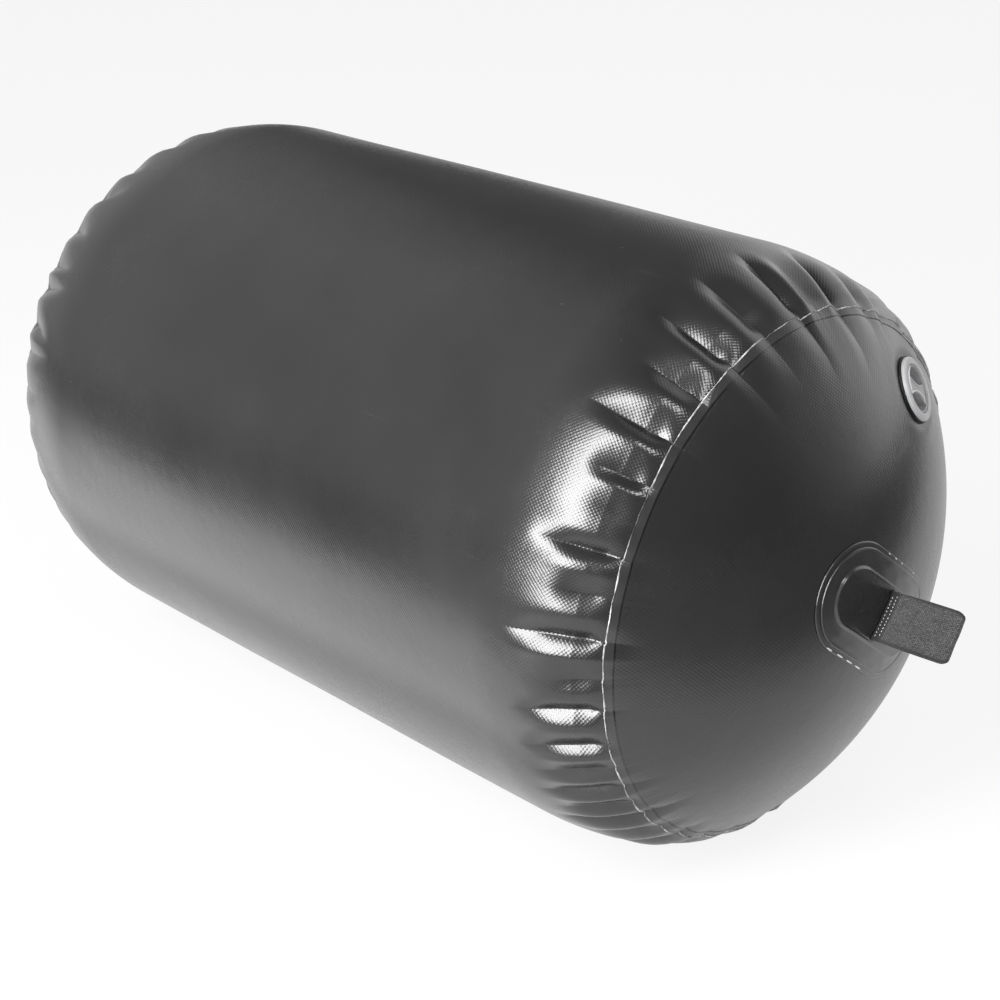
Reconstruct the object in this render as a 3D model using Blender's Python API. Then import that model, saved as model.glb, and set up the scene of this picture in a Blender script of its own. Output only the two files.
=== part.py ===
"""Inflatable boat fender: a gathered fabric bag with a webbing loop on each end and an air valve.

Units are metres, +Z is up. The fender lies on its side with its axis along X, and the end with
the valve points to +X. The origin is on the floor under the middle.
"""

import math
import random

import bmesh
import bpy
from mathutils import Matrix, Vector

MM = 0.001

# Bag
bag_radius = 305 * MM
barrel_half_length = 326 * MM
shoulder_length = 123 * MM
shoulder_turn = math.radians(51.8)
seam_radius = 266 * MM
dome_height = 104 * MM
skin_thickness = 1.2 * MM
seat_half_width = 35 * MM

# Gathers round each end seam
gather_count = 40
crest_share = 0.34
seam_share = 0.62
disc_share = 0.42

# Gap between pieces that touch, and the small extra length of a cutter past what it cuts
touch_gap = 0.3 * MM
cut_margin = 1.0 * MM

# Fabric patches and webbing loop on each end
patch_turn = math.radians(-38.5)
patch_thickness = 1.2 * MM
base_patch_half_length = 90 * MM
base_patch_half_width = 50 * MM
cover_setback = 5 * MM
strap_width = 50 * MM
strap_thickness = 2.2 * MM
strap_tail_length = 62 * MM
strap_corner_radius = 8 * MM
strap_lean = math.radians(3.0)
cover_drape = 3 * MM
cover_drape_foot = 5 * MM
loop_height = 82 * MM
loop_root_length = 9 * MM
loop_eye_width = 6.5 * MM
ply_gap = 0.6 * MM
slot_clearance = 0.5 * MM

# Valve, in its own frame: heights are measured outwards from under the flange
valve_inset = 53 * MM
valve_turn = math.radians(37.4)
valve_segments = 32
flange_radius = 32 * MM
flange_height = 4 * MM
flange_fillet = 1.8 * MM
dish_radius = 24.3 * MM
dish_depth = 9 * MM
dish_wall = 1.9 * MM
socket_radius = 17.5 * MM
ledge_height = 4 * MM
lug_height = 2.9 * MM
lug_reach = 2.4 * MM
lug_half_angle = math.radians(16)
slot_half_angle = math.radians(20)
socket_floor_drop = 3 * MM
web_thickness = 2.5 * MM
hub_radius = 5 * MM
air_hole_radius = 12.5 * MM
air_hole_half_angle = math.radians(48)
lower_neck_wall = 2.8 * MM
gasket_thickness = 1.5 * MM
gasket_overhang = 1.5 * MM
nut_width = 7.4 * MM
nut_height = 6 * MM
fit_clearance = 0.4 * MM

# Cap
cap_turn_range = math.radians(90)
cap_bar_turn = math.radians(-85.6)
cap_rim_drop = 1.0 * MM
cap_bar_drop = 0.8 * MM
cap_rim_width = 1.6 * MM
cap_chamfer = 0.6 * MM
seal_ring_height = 1.2 * MM
seal_ring_width = 3 * MM
recess_depth = 7.7 * MM
bar_waist = 10 * MM
bar_flare = 6 * MM
spigot_wall = 3.2 * MM

# Poppet, which a finger pushes in to let the air out
push_travel = 4 * MM
stem_radius = 1.9 * MM
button_radius = 6 * MM
button_height = 2.7 * MM
button_headroom = 2.3 * MM
disc_radius = 16 * MM
disc_height = 2.2 * MM
poppet_seal_height = 1.2 * MM
poppet_seal_width = 3.2 * MM
spring_radius = 4 * MM
spring_wire_radius = 0.35 * MM
spring_turns = 3

# Rings of points over each end, as shares of the shoulder's length and of the disc's radius
barrel_steps = [1.0, 0.76, 0.56, 0.38, 0.21, 0.08, 0.0]
disc_steps = [0.0, 0.04, 0.10, 0.18, 0.30]

# Worked out from the sizes above
seam_x = barrel_half_length + shoulder_length
apex_x = seam_x + dome_height
dome_radius = (seam_radius ** 2 + dome_height ** 2) / (2 * dome_height)
dome_half_angle = math.asin(seam_radius / dome_radius)
dome_arc = dome_radius * dome_half_angle
axis_height = math.sqrt(bag_radius ** 2 - seat_half_width ** 2)
columns = 3 * gather_count

# Each gather seen on the valve end: degrees from the top towards -Y, depth, length along the
# barrel and length on the end disc, in mm
seen_gathers = [
    (-27.0, 4.0, 80, 0),
    (-20.5, 5.0, 88, 0),
    (-10.5, 8.5, 104, 42),
    (-3.5, 4.5, 96, 0),
    (1.8, 7.5, 104, 30),
    (12.8, 6.0, 98, 34),
    (23.2, 8.0, 96, 44),
    (33.0, 5.0, 74, 0),
    (43.0, 7.5, 92, 40),
    (52.3, 5.0, 70, 0),
    (58.6, 4.0, 58, 30),
    (66.5, 8.0, 90, 36),
    (74.3, 5.0, 66, 0),
    (83.0, 8.5, 104, 44),
    (90.5, 4.0, 60, 0),
    (97.8, 7.5, 94, 30),
    (106.2, 6.5, 94, 0),
    (112.5, 4.5, 88, 0),
    (118.6, 6.0, 96, 46),
    (124.5, 5.0, 88, 0),
    (130.5, 8.0, 106, 60),
    (138.0, 5.0, 90, 30),
    (146.0, 7.0, 96, 40),
]


def clear_scene():
    for stale in list(bpy.data.objects):
        bpy.data.objects.remove(stale, do_unlink=True)


def make_material(name, colour, roughness, metallic=0.0):
    material = bpy.data.materials.new(name)
    material.use_nodes = True
    shader = material.node_tree.nodes["Principled BSDF"]
    shader.inputs["Base Color"].default_value = (*colour, 1.0)
    shader.inputs["Roughness"].default_value = roughness
    shader.inputs["Metallic"].default_value = metallic
    return material


def make_empty(name, parent=None, matrix=None):
    empty = bpy.data.objects.new(name, None)
    bpy.context.collection.objects.link(empty)
    empty.parent = parent
    empty.matrix_local = matrix or Matrix.Identity(4)
    return empty


def make_object(name, bm, material, parent, smooth_angle=30):
    """Turn a bmesh into a named object with outward faces, under its parent."""
    bmesh.ops.recalc_face_normals(bm, faces=bm.faces)
    mesh = bpy.data.meshes.new(name)
    bm.to_mesh(mesh)
    bm.free()
    mesh.shade_smooth()
    mesh.set_sharp_from_angle(angle=math.radians(smooth_angle))
    mesh.materials.append(material)
    piece = bpy.data.objects.new(name, mesh)
    bpy.context.collection.objects.link(piece)
    piece.parent = parent
    return piece


def make_tool(name, bm, material, parent):
    """A body that only cuts or joins: drawn as wire and left out of the model."""
    tool = make_object(name, bm, material, parent)
    tool.hide_render = True
    tool.display_type = "WIRE"
    return tool


def use_tool(piece, tool, operation):
    boolean = piece.modifiers.new(tool.name, "BOOLEAN")
    boolean.operation = operation
    boolean.solver = "EXACT"
    boolean.object = tool


def turned_mesh(profile, segments):
    """Turn a closed outline of (radius, height) points about the local Z axis."""
    bm = bmesh.new()
    rings = []
    for radius, height in profile:
        if radius == 0:
            rings.append([bm.verts.new((0, 0, height))] * segments)
            continue
        ring = []
        for step in range(segments):
            angle = 2 * math.pi * step / segments
            ring.append(bm.verts.new((radius * math.cos(angle), radius * math.sin(angle), height)))
        rings.append(ring)
    for index, ring in enumerate(rings):
        following = rings[(index + 1) % len(rings)]
        for step in range(segments):
            after = (step + 1) % segments
            corners = [ring[step], ring[after], following[after], following[step]]
            unique = list(dict.fromkeys(corners))
            if len(unique) > 2:
                bm.faces.new(unique)
    return bm


def prism_mesh(outlines, low, high):
    """Straight prisms between two heights, one for each closed outline of (x, y) points."""
    bm = bmesh.new()
    for outline in outlines:
        bottom = [bm.verts.new((x, y, low)) for x, y in outline]
        top = [bm.verts.new((x, y, high)) for x, y in outline]
        bm.faces.new(bottom)
        bm.faces.new(top)
        for index in range(len(outline)):
            after = (index + 1) % len(outline)
            bm.faces.new([bottom[index], bottom[after], top[after], top[index]])
    return bm


def sector(inner_radius, outer_radius, middle, half_angle, steps=6):
    """Outline of a piece of a ring."""
    outer = []
    inner = []
    for step in range(steps + 1):
        angle = middle - half_angle + 2 * half_angle * step / steps
        direction = (math.cos(angle), math.sin(angle))
        outer.append((outer_radius * direction[0], outer_radius * direction[1]))
        inner.append((inner_radius * direction[0], inner_radius * direction[1]))
    return outer + inner[::-1]


def smooth_step(value):
    value = min(1.0, max(0.0, value))
    return value * value * (3 - 2 * value)


def shoulder_point(share):
    """Place and outward normal on the shoulder, from the barrel (0) to the seam (1)."""
    turn = shoulder_turn * share
    x = barrel_half_length + shoulder_length * math.sin(turn) / math.sin(shoulder_turn)
    fall = (bag_radius - seam_radius) / (1 - math.cos(shoulder_turn))
    radius = bag_radius - fall * (1 - math.cos(turn))
    along = shoulder_length * math.cos(turn) / math.sin(shoulder_turn)
    down = fall * math.sin(turn)
    size = math.hypot(along, down)
    return x, radius, down / size, along / size


def shoulder_shares(distances, samples=400):
    """The shoulder's own parameter at each distance from the seam, measured along the cloth."""
    points = [shoulder_point(step / samples)[:2] for step in range(samples + 1)]
    lengths = [0.0]
    for index in range(samples):
        start = points[index]
        end = points[index + 1]
        lengths.append(lengths[-1] + math.hypot(end[0] - start[0], end[1] - start[1]))
    shares = []
    for distance in distances:
        wanted = lengths[-1] - distance
        step = 0
        while step < samples and lengths[step] < wanted:
            step += 1
        shares.append(step / samples)
    return shares


def near_gathers():
    """Gathers right round the valve end, in order of angle: the seen ones, then evenly spaced."""
    dice = random.Random(4)
    gathers = list(seen_gathers)
    hidden = gather_count - len(gathers)
    spacing = (seen_gathers[0][0] + 360 - gathers[-1][0]) / (hidden + 1)
    for number in range(1, hidden + 1):
        angle = seen_gathers[-1][0] + spacing * (number + dice.uniform(-0.2, 0.2))
        gathers.append(chance_gather(angle, dice))
    return gathers


def far_gathers():
    """Gathers round the other end, each a little to one side of its partner on the valve end."""
    dice = random.Random(7)
    return [chance_gather(gather[0] + dice.uniform(-1.6, 1.6), dice) for gather in near_gathers()]


def chance_gather(angle, dice):
    depth = dice.uniform(4.0, 8.5)
    length = 60 + 5 * depth + dice.uniform(-8, 8)
    return (angle, depth, length, dice.choice([0, 30, 38, 46]))


def gather_columns(gathers):
    """Three columns for each gather: its valley and both shoulders of the crest after it."""
    result = []
    for index, gather in enumerate(gathers):
        following = gathers[(index + 1) % len(gathers)][0]
        if index == len(gathers) - 1:
            following += 360
        width = following - gather[0]
        result.append((math.radians(gather[0]), gather, -1.0))
        result.append((math.radians(gather[0] + 0.34 * width), gather, crest_share))
        result.append((math.radians(gather[0] + 0.68 * width), gather, crest_share))
    return result


def barrel_swell(gather, distance):
    """How fully a gather shows on the barrel side, at a distance from the seam."""
    rise = smooth_step(1.7 * (1 - distance / (gather[2] * MM)))
    pinch = seam_share + (1 - seam_share) * smooth_step(distance / (22 * MM))
    return rise * pinch


def disc_swell(gather, distance):
    """How fully a gather shows on the end disc, at a distance from the seam."""
    length = max(gather[3], 12) * MM
    return disc_share * max(0.0, 1 - distance / length) ** 2


def bag_rings(side, gathers):
    """Rings of points from the barrel to the disc: lists of (x, y, z) round one end."""
    arc = sum(
        math.dist(shoulder_point(i / 60)[:2], shoulder_point((i + 1) / 60)[:2]) for i in range(60)
    )
    lines = gather_columns(gathers)
    rings = []
    distances = [arc * step for step in barrel_steps]
    for distance, share in zip(distances, shoulder_shares(distances)):
        x, radius, nx, nr = shoulder_point(share)
        lip = skin_thickness if distance == 0 else 0.0
        ring = []
        for angle, gather, level in lines:
            lift = lip + level * gather[1] * MM * barrel_swell(gather, distance)
            ring.append(bag_point(side, x + nx * lift, radius + nr * lift, angle))
        rings.append(ring)
    for step in disc_steps:
        polar = dome_half_angle * (1 - step)
        ring = []
        for angle, gather, level in lines:
            quiet = valve_quiet(side, polar, angle)
            lift = level * gather[1] * MM * disc_swell(gather, step * dome_arc) * quiet
            if step == 0:
                lift = level * gather[1] * MM * seam_share
            ring.append(dome_point(side, polar, angle, lift))
        rings.append(ring)
    return rings


def bag_point(side, x, radius, angle):
    return Vector((side * x, -radius * math.sin(angle), radius * math.cos(angle)))


def dome_point(side, polar, angle, lift):
    x = apex_x - dome_radius + (dome_radius + lift) * math.cos(polar)
    return bag_point(side, x, (dome_radius + lift) * math.sin(polar), angle)


def valve_quiet(side, polar, angle):
    """The gathers fade out where the valve is clamped to the disc."""
    if side < 0:
        return 1.0
    place = dome_point(1, polar, angle, 0)
    reach = (place - dome_point(1, valve_polar(), -valve_turn, 0)).length
    return smooth_step((reach - flange_radius) / flange_radius)


def valve_polar():
    return math.asin((seam_radius - valve_inset) / dome_radius)


def bag_mesh():
    """The bag with its gathers, the lip at each seam and the flat spot that it lies on.

    The disc with the valve is a panel of its own, so the bag ends in a wall behind it.
    """
    bm = bmesh.new()
    near = bag_rings(1, near_gathers())
    far = bag_rings(-1, far_gathers())
    seam = near_seam_ring(near)
    wall = [point - Vector((touch_gap, 0, 0)) for point in seam]
    tube = near[:near.index(seam)]
    chain = [[bm.verts.new(point) for point in ring] for ring in far[::-1] + tube + [wall]]
    for ring, following in zip(chain, chain[1:]):
        join_rings(bm, ring, following)
    join_rings(bm, chain[-1], [bm.verts.new((seam_x - touch_gap, 0, 0))])
    close_dome(bm, -1, chain[0])
    everything = bm.verts[:] + bm.edges[:] + bm.faces[:]
    floor = Vector((0, 0, -axis_height))
    bmesh.ops.bisect_plane(
        bm, geom=everything, dist=1e-6, plane_co=floor, plane_no=(0, 0, -1), clear_outer=True
    )
    rim = [edge for edge in bm.edges if edge.is_boundary]
    bmesh.ops.holes_fill(bm, edges=rim)
    return bm


def near_seam_ring(rings):
    """The ring where the disc with the valve meets the tube: the first of the disc's rings."""
    return rings[len(barrel_steps)]


def near_disc_mesh():
    """The disc that carries the valve, from its seam outwards, with a flat back."""
    bm = bmesh.new()
    rings = bag_rings(1, near_gathers())
    disc = rings[rings.index(near_seam_ring(rings)):]
    chain = [[bm.verts.new(point) for point in ring] for ring in disc]
    for ring, following in zip(chain, chain[1:]):
        join_rings(bm, ring, following)
    join_rings(bm, chain[0], [bm.verts.new((seam_x, 0, 0))])
    close_dome(bm, 1, chain[-1])
    return bm


def close_dome(bm, side, outer_ring):
    """Carry the disc on to its centre with a third of the columns."""
    dome_steps = [0.42, 0.53, 0.62, 0.70, 0.78, 0.86, 0.93]
    angles = [math.atan2(-vert.co.y, vert.co.z) for vert in outer_ring]
    previous = None
    for step in dome_steps:
        polar = dome_half_angle * (1 - step)
        ring = []
        for index in range(0, columns, 3):
            ring.append(bm.verts.new(dome_point(side, polar, angles[index], 0)))
        if previous is None:
            join_three_to_one(bm, outer_ring, ring)
        else:
            for index in range(len(ring)):
                after = (index + 1) % len(ring)
                bm.faces.new([previous[index], previous[after], ring[after], ring[index]])
        previous = ring
    centre = bm.verts.new((side * apex_x, 0, 0))
    for index in range(len(previous)):
        bm.faces.new([previous[index], previous[(index + 1) % len(previous)], centre])


def join_three_to_one(bm, fine, coarse):
    for index in range(len(coarse)):
        after = (index + 1) % len(coarse)
        first = 3 * index
        bm.faces.new([coarse[index], fine[first], fine[first + 1]])
        bm.faces.new([coarse[index], fine[first + 1], fine[first + 2]])
        bm.faces.new([coarse[index], fine[first + 2], coarse[after]])
        bm.faces.new([coarse[after], fine[first + 2], fine[(first + 3) % len(fine)]])


def on_dome(u, v, height):
    """A point above the end disc, in the end's own frame with its origin on the apex."""
    return (u, v, math.sqrt(dome_radius ** 2 - u * u - v * v) - dome_radius + height)


def obround(half_length, half_width, arc_steps=10, side_steps=4):
    """Outline with round ends, anticlockwise from the lower right."""
    straight = half_length - half_width
    points = []
    for end in (1, -1):
        for step in range(arc_steps + 1):
            angle = math.pi * step / arc_steps - math.pi / 2
            x = end * (straight + half_width * math.cos(angle))
            points.append((x, end * half_width * math.sin(angle)))
        for step in range(1, side_steps):
            points.append((end * straight * (1 - 2 * step / side_steps), end * half_width))
    return points


def slot_outline(half_length, half_width, arc_steps=10, side_steps=4):
    """Outline of a straight slot, point for point with the obround."""
    points = []
    for end in (1, -1):
        for step in range(arc_steps + 1):
            points.append((end * half_length, end * half_width * (2 * step / arc_steps - 1)))
        for step in range(1, side_steps):
            points.append((end * half_length * (1 - 2 * step / side_steps), end * half_width))
    return points


def between(first, second, share):
    return [
        (a[0] + (b[0] - a[0]) * share, a[1] + (b[1] - a[1]) * share) for a, b in zip(first, second)
    ]


def layer_mesh(rings, thickness):
    """A sheet that lies over the disc. Each ring is (outline, height); an open middle is a hole."""
    bm = bmesh.new()
    levels = []
    for lift in (0.0, thickness):
        level = []
        for outline, height in rings:
            level.append([bm.verts.new(on_dome(u, v, height + lift)) for u, v in outline])
        levels.append(level)
    count = len(rings[0][0])
    for level in levels:
        for ring, following in zip(level, level[1:]):
            join_rings(bm, ring, following)
    join_rings(bm, levels[0][0], levels[1][0])
    if len(rings[-1][0]) == count:
        join_rings(bm, levels[0][-1], levels[1][-1])
    return bm


def join_rings(bm, ring, following):
    count = len(ring)
    for index in range(count):
        after = (index + 1) % count
        if len(following) == 1:
            bm.faces.new([ring[index], ring[after], following[0]])
        else:
            bm.faces.new([ring[index], ring[after], following[after], following[index]])


def base_patch_mesh():
    outline = obround(base_patch_half_length, base_patch_half_width)
    centre = [(0.0, 0.0)] * len(outline)
    rings = [(between(outline, centre, share), touch_gap) for share in (0.0, 0.24, 0.5, 0.75)]
    rings.append(([(0.0, 0.0)], touch_gap))
    return layer_mesh(rings, patch_thickness)


def tail_floor():
    """Height of the underside of the webbing's tails above the disc."""
    return touch_gap + patch_thickness + touch_gap


def cover_patch_mesh():
    low = tail_floor()
    high = tail_floor() + strap_thickness + touch_gap
    reach = cover_drape + cover_drape_foot
    tail_width = strap_width / 2
    outer = obround(
        base_patch_half_length - cover_setback, base_patch_half_width - cover_setback
    )
    foot = obround(strap_tail_length + reach, tail_width + reach)
    crown = obround(strap_tail_length + cover_drape, tail_width + cover_drape)
    half_gap = ply_gap / 2 + strap_thickness + slot_clearance
    slot = slot_outline(half_gap, tail_width + slot_clearance)
    rings = [
        (outer, low),
        (foot, low),
        (crown, high),
        (between(crown, slot, 0.4), high),
        (between(crown, slot, 0.75), high),
        (slot, high),
    ]
    return layer_mesh(rings, patch_thickness)


def strap_half_path():
    """Middle line of half the strap as (u, height, half width), from the tail's end to the fold."""
    half_width = strap_width / 2
    ply = (ply_gap + strap_thickness) / 2
    tail_level = tail_floor() + strap_thickness / 2
    bend = strap_thickness / 2 + 1.0 * MM
    round_start = strap_tail_length - half_width
    path = []
    for share in (1.0, 0.975, 0.9, 0.75, 0.5, 0.2, 0.0):
        u = round_start + half_width * share
        width = half_width * math.sqrt(max(0.03, 1 - share * share))
        path.append((u, tail_level, width))
    for share in (0.66, 0.33):
        path.append((round_start * share, tail_level, half_width))
    for step in range(4):
        turn = math.pi / 2 * step / 3
        u = ply + bend - bend * math.sin(turn)
        path.append((u, tail_level + bend - bend * math.cos(turn), half_width))
    fold = strap_thickness / 2 + ply_gap
    root_top = tail_level + bend + loop_root_length
    fold_centre = loop_height - strap_thickness / 2 - fold
    corner_start = loop_height - strap_corner_radius
    for share in (0.0, 0.16, 0.34, 0.5, 0.66, 0.84, 0.94, 1.0):
        height = root_top + (fold_centre - root_top) * share
        bulge = (loop_eye_width / 2 - ply_gap / 2) * math.sin(math.pi * share)
        settle = ply + (fold - ply) * share
        path.append((settle + bulge, height, corner_width(height, corner_start)))
    for step in (1, 2):
        turn = math.pi / 2 * step / 3
        height = fold_centre + fold * math.sin(turn)
        path.append((fold * math.cos(turn), height, corner_width(height, corner_start)))
    return path


def corner_width(height, corner_start):
    """Half width of the strap near its fold, where the corners are rounded."""
    past = min(strap_corner_radius * 0.98, max(0.0, height - corner_start))
    return strap_width / 2 - strap_corner_radius + math.sqrt(strap_corner_radius ** 2 - past ** 2)


def webbing_mesh():
    """One strap: a tail under the cover, up through its slot, over the fold and back."""
    half = strap_half_path()
    fold_height = loop_height - strap_thickness / 2
    top = [(0.0, fold_height, half[-1][2])]
    path = half + top + [(-u, height, width) for u, height, width in half[::-1]]
    bm = bmesh.new()
    stations = (-1.0, -0.36, 0.36, 1.0)
    rows = []
    for index, (u, height, width) in enumerate(path):
        before = path[max(index - 1, 0)]
        after = path[min(index + 1, len(path) - 1)]
        along = Vector((after[0] - before[0], after[1] - before[1])).normalized()
        side = Vector((-along.y, along.x))
        row = []
        for face in (0.5, -0.5):
            shift = side * strap_thickness * face
            line = []
            for station in stations:
                rise = height + shift.y
                v = width * station
                x, y, z = on_dome(u + shift.x, v, rise)
                lean = math.tan(strap_lean) * max(0.0, rise - loop_root_length)
                line.append(bm.verts.new((x, y + lean, z)))
            row.append(line)
        rows.append(row)
    for row, following in zip(rows, rows[1:]):
        loop = row[0] + row[1][::-1]
        other = following[0] + following[1][::-1]
        join_rings(bm, loop, other)
    for row in (rows[0], rows[-1]):
        for index in range(len(stations) - 1):
            bm.faces.new([row[0][index], row[0][index + 1], row[1][index + 1], row[1][index]])
    return bm


def make_end_fittings(name, parent, fabric, webbing):
    make_object(name + "_base_patch", base_patch_mesh(), fabric, parent)
    make_object(name + "_webbing_loop", webbing_mesh(), webbing, parent)
    make_object(name + "_cover_patch", cover_patch_mesh(), fabric, parent)


# Heights in the valve's frame, from the flange downwards
dish_floor = -dish_depth
groove_top = dish_floor - ledge_height
groove_bottom = groove_top - lug_height - 2 * touch_gap
socket_floor = groove_bottom - socket_floor_drop
web_bottom = socket_floor - web_thickness
neck_radius = dish_radius + dish_wall
groove_radius = socket_radius + lug_reach + touch_gap
lower_neck_radius = groove_radius + lower_neck_wall
neck_bottom = groove_top - lug_height
gasket_top = -touch_gap
gasket_bottom = gasket_top - gasket_thickness
bag_seat = gasket_bottom - touch_gap
skin_bottom = bag_seat - skin_thickness
nut_top = skin_bottom - touch_gap
nut_bottom = nut_top - nut_height
nut_inner_radius = neck_radius + fit_clearance
nut_outer_radius = nut_inner_radius + nut_width
cap_top = flange_height - cap_rim_drop
cap_radius = dish_radius - fit_clearance
cap_underside = dish_floor + touch_gap + seal_ring_height + touch_gap
spigot_radius = socket_radius - touch_gap
lug_top = groove_top - touch_gap
lug_bottom = lug_top - lug_height
poppet_seal_top = web_bottom - touch_gap
poppet_seal_bottom = poppet_seal_top - poppet_seal_height
disc_top = poppet_seal_bottom - touch_gap
disc_bottom = disc_top - disc_height
button_top = cap_underside - button_headroom
button_bottom = button_top - button_height
stem_hole_radius = stem_radius + touch_gap
stem_top = button_top - 0.3 * button_height
pocket_bottom = disc_bottom - push_travel - cut_margin
pocket_radius = disc_radius + cut_margin


def bag_pocket_mesh():
    """The flat seat, the hole in the skin and the room behind it for the nut and the poppet."""
    seat_radius = flange_radius + gasket_overhang + cut_margin
    hole = neck_radius + fit_clearance
    room = nut_outer_radius + fit_clearance
    above = flange_height + dish_depth
    profile = [
        (0, above),
        (seat_radius, above),
        (seat_radius, bag_seat),
        (hole, bag_seat),
        (hole, skin_bottom),
        (room, skin_bottom),
        (room, nut_bottom - touch_gap),
        (hole, nut_bottom - touch_gap),
        (hole, neck_bottom - touch_gap),
        (lower_neck_radius + fit_clearance, neck_bottom - touch_gap),
        (lower_neck_radius + fit_clearance, web_bottom - touch_gap),
        (pocket_radius, web_bottom - touch_gap),
        (pocket_radius, pocket_bottom),
        (0, pocket_bottom),
    ]
    return turned_mesh(profile, valve_segments)


def valve_body_mesh():
    profile = [
        (dish_radius, flange_height - flange_fillet / 2),
        (dish_radius + flange_fillet / 2, flange_height),
        (flange_radius - flange_fillet, flange_height),
        (flange_radius - 0.3 * flange_fillet, flange_height - 0.3 * flange_fillet),
        (flange_radius, flange_height - flange_fillet),
        (flange_radius, 0),
        (neck_radius, 0),
        (neck_radius, neck_bottom),
        (lower_neck_radius, neck_bottom),
        (lower_neck_radius, web_bottom),
        (stem_hole_radius, web_bottom),
        (stem_hole_radius, socket_floor),
        (socket_radius, socket_floor),
        (socket_radius, groove_bottom),
        (groove_radius, groove_bottom),
        (groove_radius, groove_top),
        (socket_radius, groove_top),
        (socket_radius, dish_floor),
        (dish_radius, dish_floor),
    ]
    return turned_mesh(profile, valve_segments)


def make_valve_body(parent, plastic):
    body = make_object("valve_body", valve_body_mesh(), plastic, parent)
    holes = [
        sector(hub_radius, air_hole_radius, 2 * math.pi * number / 3, air_hole_half_angle)
        for number in range(3)
    ]
    low = web_bottom - cut_margin
    high = socket_floor + cut_margin
    use_tool(body, make_tool("air_holes", prism_mesh(holes, low, high), plastic, parent), "DIFFERENCE")
    slots = [
        sector(socket_radius - cut_margin, groove_radius, lug_angle(number) + cap_turn_range, slot_half_angle)
        for number in range(2)
    ]
    low = groove_top - lug_height / 2
    high = dish_floor + cut_margin
    use_tool(body, make_tool("entry_slots", prism_mesh(slots, low, high), plastic, parent), "DIFFERENCE")


def lug_angle(number):
    return cap_bar_turn + math.pi * number


def ring_profile(inner, outer, low, high, chamfer=0.0):
    if chamfer == 0:
        return [(inner, low), (outer, low), (outer, high), (inner, high)]
    return [
        (inner, low),
        (outer - chamfer, low),
        (outer, low + chamfer),
        (outer, high - chamfer),
        (outer - chamfer, high),
        (inner, high),
    ]


def cap_mesh():
    bar_level = cap_top - cap_bar_drop
    inside = cap_radius - cap_rim_width
    profile = [
        (0, bar_level),
        (inside, bar_level),
        (inside, cap_top),
        (cap_radius - cap_chamfer, cap_top),
        (cap_radius, cap_top - cap_chamfer),
        (cap_radius, cap_underside),
        (spigot_radius, cap_underside),
        (spigot_radius, lug_bottom),
        (spigot_radius - spigot_wall, lug_bottom),
        (spigot_radius - spigot_wall, cap_underside),
        (0, cap_underside),
    ]
    return turned_mesh(profile, valve_segments)


def finger_recess(side, steps=10):
    """Half-moon on one side of the grip bar, whose waist is narrower than its ends."""
    radius = cap_radius - cap_rim_width - 0.2 * MM
    reach = radius * math.cos(math.asin((bar_waist / 2 + bar_flare) / radius))
    points = []
    for step in range(steps + 1):
        along = reach * (1 - 2 * step / steps)
        points.append((along, side * (bar_waist / 2 + bar_flare * (along / reach) ** 2)))
    start = math.atan2(points[-1][1], points[-1][0])
    finish = math.atan2(points[0][1], points[0][0])
    for step in range(1, 2 * steps):
        angle = start + (finish - start) * step / (2 * steps)
        points.append((radius * math.cos(angle), radius * math.sin(angle)))
    turn = Matrix.Rotation(cap_bar_turn, 2)
    return [tuple(turn @ Vector(point)) for point in points]


def make_cap(parent, plastic, rubber):
    cap = make_object("valve_cap", cap_mesh(), plastic, parent)
    recesses = prism_mesh(
        [finger_recess(1), finger_recess(-1)],
        cap_top - cap_bar_drop - recess_depth,
        cap_top + cut_margin,
    )
    use_tool(cap, make_tool("finger_recesses", recesses, plastic, parent), "DIFFERENCE")
    lugs = [
        sector(spigot_radius - spigot_wall / 2, socket_radius + lug_reach, lug_angle(number), lug_half_angle)
        for number in range(2)
    ]
    tool = make_tool("cap_lugs", prism_mesh(lugs, lug_bottom, lug_top), plastic, parent)
    use_tool(cap, tool, "UNION")
    middle = (cap_radius + spigot_radius) / 2
    seal_low = dish_floor + touch_gap
    seal = ring_profile(
        middle - seal_ring_width / 2, middle + seal_ring_width / 2, seal_low, seal_low + seal_ring_height
    )
    make_object("cap_seal_ring", turned_mesh(seal, valve_segments), rubber, parent)


def make_clamp(parent, plastic, rubber):
    gasket = ring_profile(
        neck_radius + fit_clearance, flange_radius + gasket_overhang, gasket_bottom, gasket_top
    )
    make_object("valve_gasket", turned_mesh(gasket, valve_segments), rubber, parent)
    nut = ring_profile(nut_inner_radius, nut_outer_radius, nut_bottom, nut_top, 0.8 * MM)
    make_object("valve_base_nut", turned_mesh(nut, valve_segments), plastic, parent)


def make_poppet(parent, plastic, rubber, steel):
    segments = 24
    stem = [
        (0, disc_bottom),
        (disc_radius, disc_bottom),
        (disc_radius, disc_top),
        (stem_radius, disc_top),
        (stem_radius, stem_top),
        (0, stem_top),
    ]
    make_object("poppet_stem", turned_mesh(stem, segments), plastic, parent)
    seal = ring_profile(
        disc_radius - poppet_seal_width, disc_radius, poppet_seal_bottom, poppet_seal_top
    )
    make_object("poppet_seal", turned_mesh(seal, segments), rubber, parent)
    button = [
        (stem_hole_radius, button_bottom),
        (button_radius - cap_chamfer, button_bottom),
        (button_radius, button_bottom + cap_chamfer),
        (button_radius, button_top - cap_chamfer),
        (button_radius - cap_chamfer, button_top),
        (0, button_top),
        (0, stem_top + touch_gap),
        (stem_hole_radius, stem_top + touch_gap),
    ]
    make_object("push_button", turned_mesh(button, segments), plastic, parent)
    low = socket_floor + touch_gap + spring_wire_radius
    high = button_bottom - touch_gap - spring_wire_radius
    make_object("poppet_spring", spring_mesh(low, high), steel, parent)


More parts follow.
